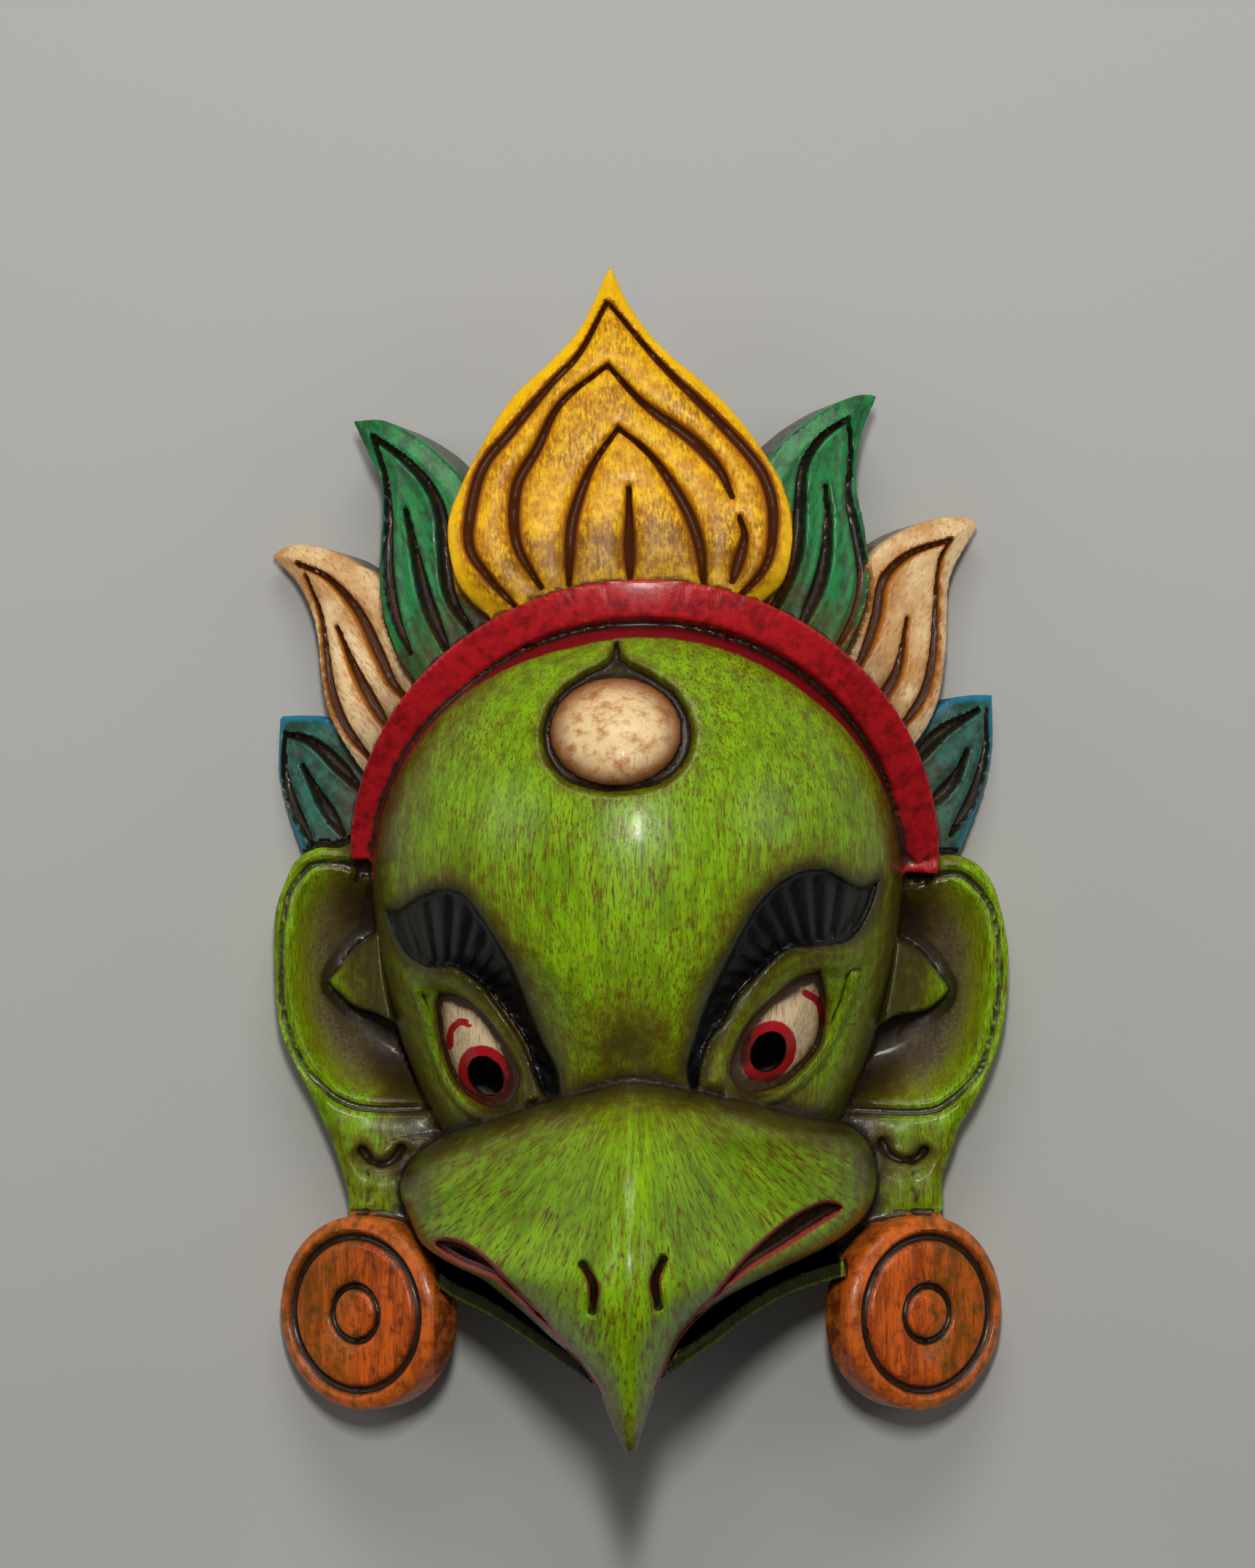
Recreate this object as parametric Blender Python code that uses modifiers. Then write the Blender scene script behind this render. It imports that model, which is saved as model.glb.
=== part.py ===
"""Garuda mask, carved from one block of wood and lying on its back.

Metres, +X to the viewer's right, +Y up to the crown, +Z out of the face.
The back rim lies on Z = 0. Free carving is written in carving units, of which
CARVING_UNITS make the height of the mask, so that it keeps its proportions.
"""
import math

import bmesh
import bpy
import numpy as np
from mathutils import Matrix, Vector

# Driving dimensions in metres
MASK_HEIGHT = 0.270
WALL = 0.0085
DISC_DIAMETER = 0.0456
DISC_THICKNESS = 0.011
DISC_TURN = math.radians(34)
PUPIL_WIDTH = 0.0076
PUPIL_HEIGHT = 0.0100
PUPIL_TILT = math.radians(28)
JEWEL_WIDTH = 0.030
JEWEL_HEIGHT = 0.025
BAND_WIDTH = 0.0084
GROOVE_WIDTH = 0.0032
GROOVE_DEPTH = 0.0017
VEIN_WIDTH = 0.0036
VEIN_DEPTH = 0.0017
LIP_THICKNESS = 0.0038

CARVING_UNITS = 270
UNIT = MASK_HEIGHT / CARVING_UNITS

# Fineness of the solid
VOXEL = 0.0012
FRONT_TRIANGLES = 8300
OUTLINE_STEPS = 5
BEAK_STEPS = 5
LIP_STEPS = 3
HEAD_SEGMENTS = 96
HEAD_RINGS = 64
DISC_SIDES = 72
BEAK_SECTION_POINTS = 40
BAND_STATIONS = 60

# Head: an egg whose upper half is shorter than its lower half
HEAD_CENTRE = (0.0, -5.0, 5.0)
HEAD_HALF_WIDTH = 63.5
HEAD_UPPER_REACH = 70.0
HEAD_LOWER_REACH = 95.0
HEAD_RISE = 73.0

# Depth of the block below Z = 0 that the flat back cut takes off
SPARE_DEPTH = 3.0

# Leaves of the crown: outline from the tip round to the tip, a pivot on the front face,
# the turn outwards and the lean back in degrees, the thickness, and the carved veins
LEAVES = {
    "flame": {
        "outline": [(-6.4, 134.0), (-1.5, 124.1), (5.5, 115.1), (15.4, 106.5), (22.4, 99.5), (28.8, 90.9),
                    (33.2, 83.2), (35.4, 75.5), (35.5, 67.7), (33.2, 59.9), (26.8, 54.3), (18.0, 46.0),
                    (-3.0, 42.0), (-26.0, 46.0), (-33.0, 51.5), (-38.5, 56.2), (-42.1, 61.9), (-43.8, 71.3),
                    (-42.5, 78.1), (-37.6, 89.0), (-29.4, 102.6), (-20.3, 111.5), (-13.1, 119.8),
                    (-6.4, 134.0)],
        "pivot": (-3.0, 55.0, 46.0), "turn": 0, "lean": -7, "thickness": 24,
        "veins": [
            [(-7.1, 125.3), (-13.3, 113.5), (-20.3, 105.8), (-28.9, 95.3), (-35.3, 87.4), (-38.1, 78.3),
             (-38.8, 68.4), (-34.6, 61.4), (-28.2, 54.3)],
            [(-6.4, 124.8), (4.8, 111.5), (15.4, 100.8), (25.3, 90.2), (29.7, 83.2), (31.3, 74.8),
             (29.7, 64.1), (23.3, 56.3)],
            [(-6.9, 110.5), (-17.7, 101.6), (-23.2, 90.9), (-27.9, 81.8), (-27.9, 69.1), (-22.2, 58.5)],
            [(-6.9, 110.5), (1.3, 101.6), (12.5, 93.1), (18.9, 86.0), (21.8, 79.7)],
            [(23.6, 74.8), (24.6, 69.8), (21.8, 59.9)],
            [(-4.4, 95.8), (-10.6, 86.7), (-14.5, 76.1), (-15.5, 69.1), (-15.8, 59.2)],
            [(-4.4, 95.8), (3.5, 88.9), (10.5, 78.3), (14.1, 69.1), (15.4, 58.5)],
            [(-2.0, 81.8), (-1.7, 60.5)],
        ],
    },
    "green_left": {
        "outline": [(-67.6, 98.9), (-60.2, 98.8), (-51.8, 94.2), (-46.1, 89.3), (-41.9, 84.6), (-32.0, 70.0),
                    (-30.0, 50.0), (-38.3, 42.0), (-46.0, 32.0), (-54.7, 40.2), (-58.9, 48.8),
                    (-60.9, 57.2), (-61.1, 66.5), (-60.6, 76.5), (-60.9, 85.1), (-63.8, 90.6), (-67.6, 98.9)],
        "pivot": (-46.0, 50.0, 33.0), "turn": -22, "lean": -6, "thickness": 21,
        "veins": [
            [(-62.4, 95.0), (-59.6, 85.1), (-58.6, 75.8), (-58.6, 63.0), (-56.7, 52.4), (-53.2, 43.8)],
            [(-54.2, 77.2), (-51.8, 66.5), (-48.9, 55.2), (-43.9, 43.1)],
            [(-62.4, 95.0), (-54.7, 89.3), (-48.9, 82.9), (-45.7, 75.1), (-44.7, 63.0), (-43.2, 55.9),
             (-38.3, 48.1)],
        ],
    },
    "green_right": {
        "outline": [(57.2, 104.9), (53.1, 104.9), (48.2, 103.1), (41.1, 98.6), (35.4, 93.5), (31.5, 88.6),
                    (22.0, 72.0), (24.0, 50.0), (40.0, 33.0), (46.7, 40.1), (51.1, 47.5), (54.0, 54.5),
                    (55.1, 63.0), (54.0, 73.6), (52.3, 81.5), (52.3, 89.3), (54.0, 97.1), (57.2, 104.9)],
        "pivot": (40.0, 50.0, 33.0), "turn": 22, "lean": -6, "thickness": 21,
        "veins": [
            [(49.6, 98.9), (43.2, 94.2), (38.9, 87.1), (37.9, 76.5), (36.9, 66.5), (32.5, 55.2), (29.0, 51.0)],
            [(44.0, 82.9), (44.7, 73.6), (43.2, 62.3), (39.6, 53.0), (37.3, 48.1)],
            [(49.6, 98.9), (50.4, 91.3), (49.9, 80.7), (51.4, 72.3), (53.1, 62.3), (51.4, 53.0), (46.0, 43.1)],
        ],
    },
    "cream_left": {
        "outline": [(-87.5, 67.3), (-84.2, 69.6), (-78.6, 70.0), (-71.3, 67.9), (-66.4, 64.9), (-61.8, 62.3),
                    (-50.0, 50.0), (-46.0, 34.0), (-56.0, 16.0), (-63.0, 14.5), (-69.0, 21.7),
                    (-73.2, 29.4), (-75.2, 37.8), (-76.1, 46.2), (-77.8, 54.0), (-81.4, 61.1), (-87.5, 67.3)],
        "pivot": (-62.0, 35.0, 23.0), "turn": -26, "lean": -6, "thickness": 17,
        "veins": [
            [(-78.8, 62.5), (-75.2, 53.3), (-73.9, 44.1), (-72.5, 35.0), (-69.0, 26.6), (-62.7, 18.8)],
            [(-70.7, 50.1), (-66.8, 40.6), (-62.7, 32.9), (-57.8, 25.1)],
            [(-80.8, 65.4), (-73.2, 61.8), (-66.1, 54.0), (-61.1, 44.1), (-57.8, 37.2), (-53.5, 32.2)],
        ],
    },
    "cream_right": {
        "outline": [(81.6, 74.5), (79.6, 76.3), (74.4, 76.6), (67.4, 74.9), (60.3, 71.0), (56.0, 66.7),
                    (44.0, 50.0), (42.0, 36.0), (54.0, 16.0), (61.6, 18.5), (67.4, 24.4), (71.5, 32.2),
                    (73.4, 42.1), (74.0, 51.9), (74.4, 60.3), (76.4, 66.0), (81.6, 74.5)],
        "pivot": (60.0, 38.0, 23.0), "turn": 26, "lean": -6, "thickness": 17,
        "veins": [
            [(74.4, 71.0), (64.5, 67.4), (58.2, 61.1), (56.4, 52.6), (53.3, 43.5), (49.8, 37.8)],
            [(63.5, 51.9), (61.6, 40.6), (58.2, 34.3), (54.0, 29.4)],
            [(74.4, 71.0), (71.5, 65.4), (70.8, 54.7), (70.1, 43.5), (67.4, 33.6), (60.3, 24.4)],
        ],
    },
    "teal_left": {
        "outline": [(-85.4, 29.4), (-79.2, 29.6), (-73.5, 28.6), (-66.0, 22.0), (-57.0, 12.0), (-56.0, 0.0),
                    (-66.0, -8.0), (-76.8, -8.0), (-81.6, 1.0), (-85.1, 11.9), (-86.0, 19.5), (-85.4, 29.4)],
        "pivot": (-70.0, 10.0, 12.5), "turn": -24, "lean": -4, "thickness": 14,
        "veins": [
            [(-84.1, 25.2), (-84.1, 16.8), (-81.9, 8.3), (-77.0, -0.9)],
            [(-79.2, 17.5), (-74.9, 9.6), (-69.3, 1.1)],
            [(-84.1, 25.2), (-77.0, 23.1), (-70.6, 17.5), (-65.4, 11.9)],
        ],
    },
    "teal_right": {
        "outline": [(84.9, 34.5), (79.0, 34.3), (73.0, 32.5), (66.0, 24.0), (58.0, 12.0), (60.0, -2.0),
                    (68.0, -9.0), (74.4, -7.0), (81.1, 6.9), (84.3, 17.5), (85.2, 26.7), (84.9, 34.5)],
        "pivot": (72.0, 12.0, 12.5), "turn": 24, "lean": -4, "thickness": 14,
        "veins": [
            [(81.1, 30.8), (71.8, 25.2), (64.8, 17.5)],
            [(78.0, 20.9), (74.7, 13.9), (68.4, 7.6)],
            [(83.3, 30.8), (82.9, 20.9), (79.7, 10.3), (74.1, 1.1)],
        ],
    },
}
LEAF_EDGE_DROP = 2.4
LEAF_EDGE_REACH = 6.0
VEIN_THIN = 0.36
VEIN_SWELL = 1.6
PILLOW_DROP = 0.9
PILLOW_REACH = 5.0

# Relief moves the skin within this depth under a flat face, and this far off it
RELIEF_FADE = 9.0
SKIN_TOLERANCE = 1.6
HEAD_TOLERANCE = 2.5
FACING = 0.15

# Ears: outline, the curl that borders the bowl, the small flap and the lobe fold
EAR_TOP = 17.0
EAR_FADE = 6.0
EAR_EDGE_DROP = 2.0
EAR_BOWL_DEPTH = 10.5
EAR_BOWL_REACH = 15.0
EAR_BOWL_BACK = 25.0
EAR_FLAP_TIP = 5.0
EAR_FLAP_RISE = 15.0
EAR_FLAP_REACH = 15.0
LOBE_FOLD_WIDTH = 3.0
LOBE_FOLD_DEPTH = 2.6
EARS = {
    "left": {
        "outline": [(-56.0, -2.0), (-70.3, -2.0), (-75.2, -2.0), (-80.2, -5.0), (-83.1, -11.0), (-85.0, -17.2),
                    (-85.3, -25.0), (-85.0, -34.9), (-83.8, -44.6), (-80.7, -52.5), (-76.4, -60.5),
                    (-72.2, -69.9), (-69.8, -76.7), (-67.9, -83.4), (-67.1, -90.0), (-60.0, -98.0),
                    (-48.0, -96.0), (-46.0, -50.0)],
        "curl": [(-55.0, -7.6), (-63.3, -7.6), (-69.8, -5.5), (-76.4, -5.9), (-80.7, -11.0), (-82.6, -17.2),
                 (-83.4, -26.4), (-83.0, -38.5), (-81.0, -46.3), (-77.6, -53.7), (-72.9, -59.1),
                 (-67.9, -62.2), (-61.8, -63.4), (-50.0, -63.4)],
        "flap": [(-72.4, -33.6), (-69.6, -29.7), (-66.6, -25.7), (-63.3, -23.3), (-56.0, -20.0), (-54.0, -42.0),
                 (-62.0, -40.9), (-66.6, -39.4), (-69.6, -36.9)],
        "fold": [(-64.5, -73.2), (-62.6, -75.4), (-60.2, -76.3), (-57.5, -75.4), (-55.4, -72.6)],
    },
    "right": {
        "outline": [(56.0, -5.0), (65.4, -6.5), (68.9, -4.4), (73.2, -3.5), (78.7, -5.0), (82.9, -9.3),
                    (85.3, -16.0), (86.9, -24.5), (87.0, -33.5), (86.0, -43.4), (83.6, -52.0),
                    (79.9, -60.5), (75.6, -67.7), (74.1, -72.4), (71.7, -79.3), (71.0, -90.0), (62.0, -98.0),
                    (48.0, -96.0), (46.0, -50.0)],
        "curl": [(55.0, -10.0), (65.4, -9.8), (70.8, -8.3), (76.3, -8.3), (81.7, -13.6), (84.0, -20.2),
                 (84.9, -29.3), (84.4, -38.5), (82.5, -47.7), (79.4, -55.5), (73.2, -61.7),
                 (66.6, -64.1), (50.0, -63.7)],
        "flap": [(73.2, -35.5), (70.0, -30.6), (66.4, -26.3), (62.1, -23.6), (56.0, -21.0), (54.0, -43.0),
                 (60.9, -41.6), (66.4, -40.8), (70.0, -39.1)],
        "fold": [(57.5, -71.4), (59.0, -73.8), (61.0, -75.1), (63.9, -75.6), (65.9, -74.8), (67.3, -73.2)],
    },
}

# Jaw block behind the beak, which carries the discs and the lower beak
JAW = [(-50.0, -70.0), (-62.0, -84.0), (-60.0, -98.0), (-46.0, -104.0), (-30.0, -105.0), (0.0, -108.0),
       (30.0, -102.0), (46.0, -100.0), (60.0, -98.0), (64.0, -84.0), (50.0, -70.0)]
JAW_TOP = 18.0

# Ear discs: centre of the front face, the ring grooves as shares of the radius
DISC_CENTRES = {"left": (-66.4, -111.2, 22.0), "right": (68.2, -111.2, 22.0)}
DISC_RIM_SHARE = 0.79
DISC_RING_SHARE = 0.285
DISC_EDGE_DROP = 1.2
DISC_EDGE_ROUND = 0.0012

# Band over the brow: an arc whose front falls away to both sides
BAND_CENTRE = (1.7, -4.5)
BAND_HALF_SPAN = 64.6
BAND_HEIGHT = 60.4
BAND_TOP = 55.0
BAND_END = 22.0
BAND_BACK = 40.0
BAND_EDGE_DROP = 0.8
BAND_SLOPE = 3.5
BAND_SLOPE_DEPTH = 13.0
BAND_FIRST_ANGLE = -3
BAND_LAST_ANGLE = 180

# Upper beak by level slices: height on the mask, left and right edge, depth of edge and ridge
BEAK_SLICES = [
    (-54.6, -4.0, 3.5, 58.0, 67.0),
    (-57.0, -11.5, 13.5, 55.0, 76.0),
    (-60.0, -23.0, 26.0, 47.0, 84.0),
    (-63.5, -31.5, 37.0, 39.0, 91.0),
    (-67.0, -40.5, 49.0, 33.0, 96.5),
    (-70.5, -47.0, 53.4, 29.0, 100.0),
    (-74.0, -51.5, 55.0, 27.0, 103.0),
    (-78.5, -54.6, 55.7, 25.5, 106.0),
    (-82.5, -55.2, 55.4, 25.0, 108.2),
    (-86.0, -54.0, 54.0, 26.0, 109.5),
    (-90.0, -52.2, 50.5, 29.0, 111.0),
    (-94.0, -49.6, 44.5, 34.0, 111.8),
    (-97.5, -43.5, 36.0, 42.0, 112.0),
    (-100.5, -36.0, 28.5, 50.0, 112.0),
    (-104.0, -30.5, 20.5, 59.0, 111.8),
    (-108.0, -25.0, 14.5, 66.0, 111.2),
    (-112.0, -20.0, 10.2, 73.0, 110.2),
    (-117.0, -13.4, 6.8, 81.0, 108.6),
    (-123.0, -8.8, 4.0, 88.0, 106.0),
    (-129.5, -5.9, 1.6, 93.5, 102.8),
    (-135.6, -2.8, -0.6, 97.0, 99.6),
]
BEAK_RIDGE = -1.8
BEAK_RIDGE_WIDTH = 19.0
BEAK_CHEEK_RISE = 40.0
BEAK_BACK = 8.0
BEAK_HOOK_STARTS = -86.0
BEAK_HOOK_WHOLE = -110.0
BEAK_FREE_FROM = -93.0
BEAK_FREE_RUN = 5.0
BEAK_HOOK_UNDERSIDE = 5.0
BEAK_UNDER_BULGE = 2.0

# Carved mouth corners and nostrils on the beak
SLOT_DEPTH = 4.5
SLOT_LEVEL = 38.0
LIP_LINE_WIDTH = 2.4
LIP_LINE_DEPTH = 1.2
NOSTRIL_LEVEL = 75.0
SLOTS = {
    "left": [(-46.2, -92.3), (-43.7, -91.2), (-39.0, -91.8), (-33.7, -94.7), (-29.0, -99.0), (-23.0, -105.0),
             (-20.0, -108.7), (-24.0, -105.8), (-31.0, -99.6), (-34.9, -97.9), (-40.3, -96.4), (-44.9, -94.1)],
    "right": [(46.6, -84.2), (42.6, -82.8), (36.2, -85.1), (29.6, -89.3), (23.2, -94.4), (17.0, -101.3),
              (12.5, -107.5), (17.6, -102.6), (24.0, -96.8), (32.9, -92.3), (38.8, -89.1), (44.5, -86.1)],
}
LIP_LINES = {
    "left": [(-22.0, -106.2), (-16.2, -113.0), (-12.0, -118.0), (-8.2, -123.2)],
    "right": [(14.0, -105.6), (9.8, -111.4), (6.9, -117.0), (4.4, -121.8)],
}
NOSTRILS = {
    "left": [(-12.0, -93.8), (-9.8, -98.0), (-9.9, -103.5)],
    "right": [(5.4, -92.4), (3.7, -96.8), (4.3, -102.4)],
}
NOSTRIL_WIDTH = 3.0
NOSTRIL_DEPTH = 3.5

# Lower beak: its lip from ear disc to ear disc, and the throat line that it grows from
LOWER_LIP = [(-46.0, -104.0, 34.0), (-42.8, -106.2, 38.0), (-34.5, -109.3, 48.0), (-26.3, -113.6, 58.0),
             (-17.4, -118.6, 70.0), (-10.0, -122.3, 80.0), (-2.0, -124.4, 86.0), (5.6, -121.0, 80.0),
             (16.7, -114.6, 70.0), (23.3, -110.2, 62.0), (29.8, -106.8, 54.0), (36.4, -104.2, 46.0),
             (44.1, -102.4, 38.0), (48.0, -101.6, 34.0)]
THROAT_SHARE = 0.96
THROAT_RISE = 0.42
THROAT_LEVEL = -100.0

# Jewel on the forehead: a ball in a pointed recess
JEWEL_CENTRE = (-5.0, 25.0)
JEWEL_RECESS = [(-4.8, 45.6), (-2.2, 41.2), (3.6, 38.0), (9.6, 33.2), (12.6, 26.0), (11.4, 18.6), (5.6, 12.9),
                (-5.0, 10.9), (-15.4, 12.9), (-20.8, 18.6), (-21.8, 26.0), (-18.8, 33.2), (-13.0, 38.0),
                (-7.4, 41.2), (-4.8, 45.6)]
JEWEL_RECESS_DEPTH = 4.0
JEWEL_RISE = 8.0

# Eyes: brow, eyeball, the two lids and the pupil
BROW_DEPTH = 3.2
STRAND_DEPTH = 0.9
STRANDS = 9
LID_RISE = 2.2
LID_WIDTH = 6.5
EYE_DEPTH = 4.2
EYE_BULGE = 3.2
SOCKET_DEPTH = 9.0
SOCKET_REACH = 25.0
EYES = {
    "left": {
        "centre": (-35.0, -46.0),
        "pupil": (-35.0, -54.5),
        "brow": [(-58.5, -16.3), (-54.9, -16.0), (-50.2, -13.0), (-44.2, -11.0), (-39.4, -12.5), (-34.8, -18.2),
                 (-31.1, -24.0), (-28.3, -29.5), (-24.6, -39.4), (-21.6, -46.6), (-18.5, -52.5), (-18.0, -58.7),
                 (-21.1, -58.5), (-23.5, -53.4), (-25.8, -46.6), (-28.8, -41.9), (-32.4, -37.1),
                 (-36.6, -32.3), (-41.9, -29.1), (-47.7, -29.1), (-52.5, -27.0), (-56.0, -22.3), (-58.5, -16.3)],
        "brow_root": (-44.0, -42.0),
        "strands_from": 75, "strands_to": 175,
        "ball": [(-45.7, -35.1), (-46.7, -38.6), (-45.7, -46.5), (-43.3, -54.2), (-39.2, -59.5), (-33.8, -61.9),
                 (-29.0, -60.2), (-26.6, -55.3), (-27.8, -50.7), (-31.3, -44.6), (-35.5, -39.3),
                 (-41.0, -35.6), (-45.7, -35.1)],
        "upper_lid": [(-51.6, -32.9), (-44.5, -31.6), (-38.0, -34.6), (-33.4, -39.6), (-29.6, -45.9),
                      (-26.2, -52.4), (-24.6, -57.6)],
        "lower_lid": [(-51.3, -35.5), (-48.6, -43.4), (-46.8, -49.9), (-44.5, -55.9), (-40.3, -61.2),
                      (-35.4, -63.8), (-28.9, -62.6), (-25.0, -58.9)],
    },
    "right": {
        "centre": (32.0, -43.0),
        "pupil": (30.0, -48.6),
        "brow": [(55.6, -9.5), (51.6, -10.7), (48.1, -9.5), (42.8, -6.7), (37.3, -6.9), (31.5, -10.0),
                 (26.7, -15.2), (23.2, -21.2), (20.7, -26.5), (17.2, -33.6), (14.9, -39.4), (12.4, -47.2),
                 (11.2, -52.5), (13.1, -57.2), (14.2, -51.9), (16.0, -46.1), (19.5, -41.2), (22.5, -35.9),
                 (26.2, -31.8), (29.7, -28.1), (34.5, -24.6), (41.0, -24.0), (46.3, -23.5), (50.4, -21.2),
                 (53.9, -15.2), (55.6, -9.5)],
        "brow_root": (42.0, -38.0),
        "strands_from": 5, "strands_to": 105,
        "ball": [(41.8, -29.8), (36.4, -31.4), (31.7, -35.1), (27.5, -38.6), (24.5, -42.8), (21.5, -49.3),
                 (20.9, -53.5), (23.4, -57.2), (28.0, -58.0), (34.1, -56.0), (38.9, -51.8), (42.4, -46.5),
                 (43.6, -37.4), (41.8, -29.8)],
        "upper_lid": [(50.7, -25.9), (46.4, -27.6), (41.2, -27.4), (36.0, -29.0), (30.1, -32.7), (25.9, -37.6),
                      (22.9, -42.9), (20.4, -48.3), (18.9, -54.7)],
        "lower_lid": [(50.0, -31.4), (48.4, -37.4), (45.9, -43.4), (42.4, -49.9), (37.5, -55.2), (31.7, -59.1),
                      (25.7, -59.9), (21.0, -57.8)],
    },
}

# Hollow behind: the head's own egg, drawn in by the wall, and a pocket inside the beak
HOLLOW_SEGMENTS = 28
HOLLOW_RINGS = 14
PUPIL_SIDES = 20
POCKET_SEGMENTS = 16
POCKET_RINGS = 10
HOLLOW_LOWER_END = -93.0
HOLLOW_SOCKET_WALL = 4.0
POCKET_CENTRE = (-2.0, -72.0)
POCKET_SIZE = (24.0, 17.0, 66.0)

# Pupil cut: middle level and length, long enough to pass right through the wall
PUPIL_LEVEL = 42.0
PUPIL_CUT = 80.0

WOOD_COLOUR = (0.24, 0.42, 0.03, 1.0)
WOOD_ROUGHNESS = 0.35


def clear_scene():
    """Remove every object of the open file."""
    for item in list(bpy.data.objects):
        bpy.data.objects.remove(item, do_unlink=True)


def smooth_path(points, closed=False, steps=OUTLINE_STEPS):
    """Catmull-Rom curve through the given points."""
    p = np.array(points, dtype=float)
    if closed:
        p = np.vstack([p[-1], p, p[0], p[1]])
    else:
        p = np.vstack([2 * p[0] - p[1], p, 2 * p[-1] - p[-2]])
    t = np.linspace(0, 1, steps, endpoint=False)[:, None]
    rows = []
    for a, b, c, d in zip(p[:-3], p[1:-2], p[2:-1], p[3:]):
        rows.append(0.5 * (2 * b + (c - a) * t + (2 * a - 5 * b + 4 * c - d) * t ** 2
                           + (3 * b - a - 3 * c + d) * t ** 3))
    curve = np.vstack(rows)
    return curve if closed else np.vstack([curve, p[-2]])


def ramp(low, high, value):
    """Smooth step from 0 at low to 1 at high."""
    t = np.clip((value - low) / (high - low), 0, 1)
    return t * t * (3 - 2 * t)


def path_distance(spots, path):
    """Distance from each spot to an open path of straight pieces."""
    best = np.full(len(spots), np.inf)
    for a, b in zip(path[:-1], path[1:]):
        along = b - a
        share = np.clip(((spots - a) @ along) / max(along @ along, 1e-12), 0, 1)
        best = np.minimum(best, np.hypot(*(spots - a - share[:, None] * along).T))
    return best


def path_measure(spots, path):
    """Distance from each spot to a path, and the share of its length there."""
    best = np.full(len(spots), np.inf)
    share = np.zeros(len(spots))
    lengths = np.hypot(*np.diff(path, axis=0).T)
    run = 0.0
    for a, b, length in zip(path[:-1], path[1:], lengths):
        along = b - a
        part = np.clip(((spots - a) @ along) / max(length ** 2, 1e-12), 0, 1)
        away = np.hypot(*(spots - a - part[:, None] * along).T)
        nearer = away < best
        best[nearer] = away[nearer]
        share[nearer] = (run + part[nearer] * length) / lengths.sum()
        run += length
    return best, share


def vein_measure(spots, path):
    """Distance from each spot to a vein, in half widths of the vein there."""
    away, share = path_measure(spots, path)
    swell = VEIN_THIN + (1 - VEIN_THIN) * np.sin(math.pi * share ** VEIN_SWELL)
    return away / (VEIN_WIDTH / UNIT / 2 * swell)


def inner_distance(spots, outline):
    """Distance to a closed outline, positive inside it."""
    loop = np.vstack([outline, outline[:1]])
    inside = np.zeros(len(spots), dtype=bool)
    for (ax, ay), (bx, by) in zip(loop[:-1], loop[1:]):
        crosses = (ay > spots[:, 1]) != (by > spots[:, 1])
        reach = ax + (spots[:, 1] - ay) * (bx - ax) / ((by - ay) or 1e-12)
        inside ^= crosses & (spots[:, 0] < reach)
    return np.where(inside, 1, -1) * path_distance(spots, loop)


def near(spots, path, margin):
    """Spots within the path's own box, widened by a margin."""
    low = path.min(axis=0) - margin
    high = path.max(axis=0) + margin
    return np.all((spots > low) & (spots < high), axis=1)


def groove(spots, path, width, depth):
    """Depth of a round-bottomed groove along a path at each spot."""
    cut = np.zeros(len(spots))
    close = near(spots, path, width)
    away = path_distance(spots[close], path)
    cut[close] = depth * (1 - ramp(0.1 * width, 0.62 * width, away))
    return cut


def outline_of(part):
    """Closed outline of a leaf that keeps its pointed tip."""
    return smooth_path(part["outline"])[:-1]


def leaf_matrix(leaf):
    """Frame of a leaf: origin on its front face, Z out of that face."""
    turn = Matrix.Rotation(math.radians(leaf["turn"]), 4, "Y")
    lean = Matrix.Rotation(math.radians(leaf["lean"]), 4, "X")
    return Matrix.Translation(Vector(leaf["pivot"])) @ turn @ lean


def onto_leaf(leaf, seen):
    """Carry points seen from the front onto the leaf's own plane."""
    turn = math.radians(leaf["turn"])
    lean = math.radians(leaf["lean"])
    offset = np.asarray(seen, dtype=float) - np.array(leaf["pivot"][:2])
    up = offset[:, 1] / math.cos(lean)
    across = (offset[:, 0] - up * math.sin(lean) * math.sin(turn)) / math.cos(turn)
    return np.column_stack([across, up])


def into_frame(points, matrix):
    """Points of the mask in a turned part's own frame."""
    inverse = np.array(matrix.inverted())
    return points @ inverse[:3, :3].T + inverse[:3, 3]


def new_object(name, mesh, collection):
    """Object of a mesh, linked to a collection."""
    item = bpy.data.objects.new(name, mesh)
    collection.objects.link(item)
    return item


def plate(name, outline, low, high, collection, matrix=Matrix.Identity(4)):
    """Flat plate of a closed outline between two levels, in carving units."""
    curve = bpy.data.curves.new(name, "CURVE")
    curve.dimensions = "2D"
    curve.fill_mode = "BOTH"
    curve.extrude = (high - low) / 2 * UNIT
    spline = curve.splines.new("POLY")
    spline.points.add(len(outline) - 1)
    for point, (x, y) in zip(spline.points, outline):
        point.co = (x * UNIT, y * UNIT, 0, 1)
    spline.use_cyclic_u = True
    guide = new_object(name + "_curve", curve, collection)
    raise_up = Matrix.Translation((0, 0, (high + low) / 2 * UNIT))
    placed = matrix.copy()
    placed.translation = matrix.translation * UNIT
    item = mesh_of(guide, name, collection)
    item.data.transform(placed @ raise_up)
    return item


def mesh_of(guide, name, collection):
    """Closed mesh of a curve object, which is then removed."""
    depsgraph = bpy.context.evaluated_depsgraph_get()
    mesh = bpy.data.meshes.new_from_object(guide.evaluated_get(depsgraph))
    weld(mesh)
    bpy.data.objects.remove(guide, do_unlink=True)
    return new_object(name, mesh, collection)


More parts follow.
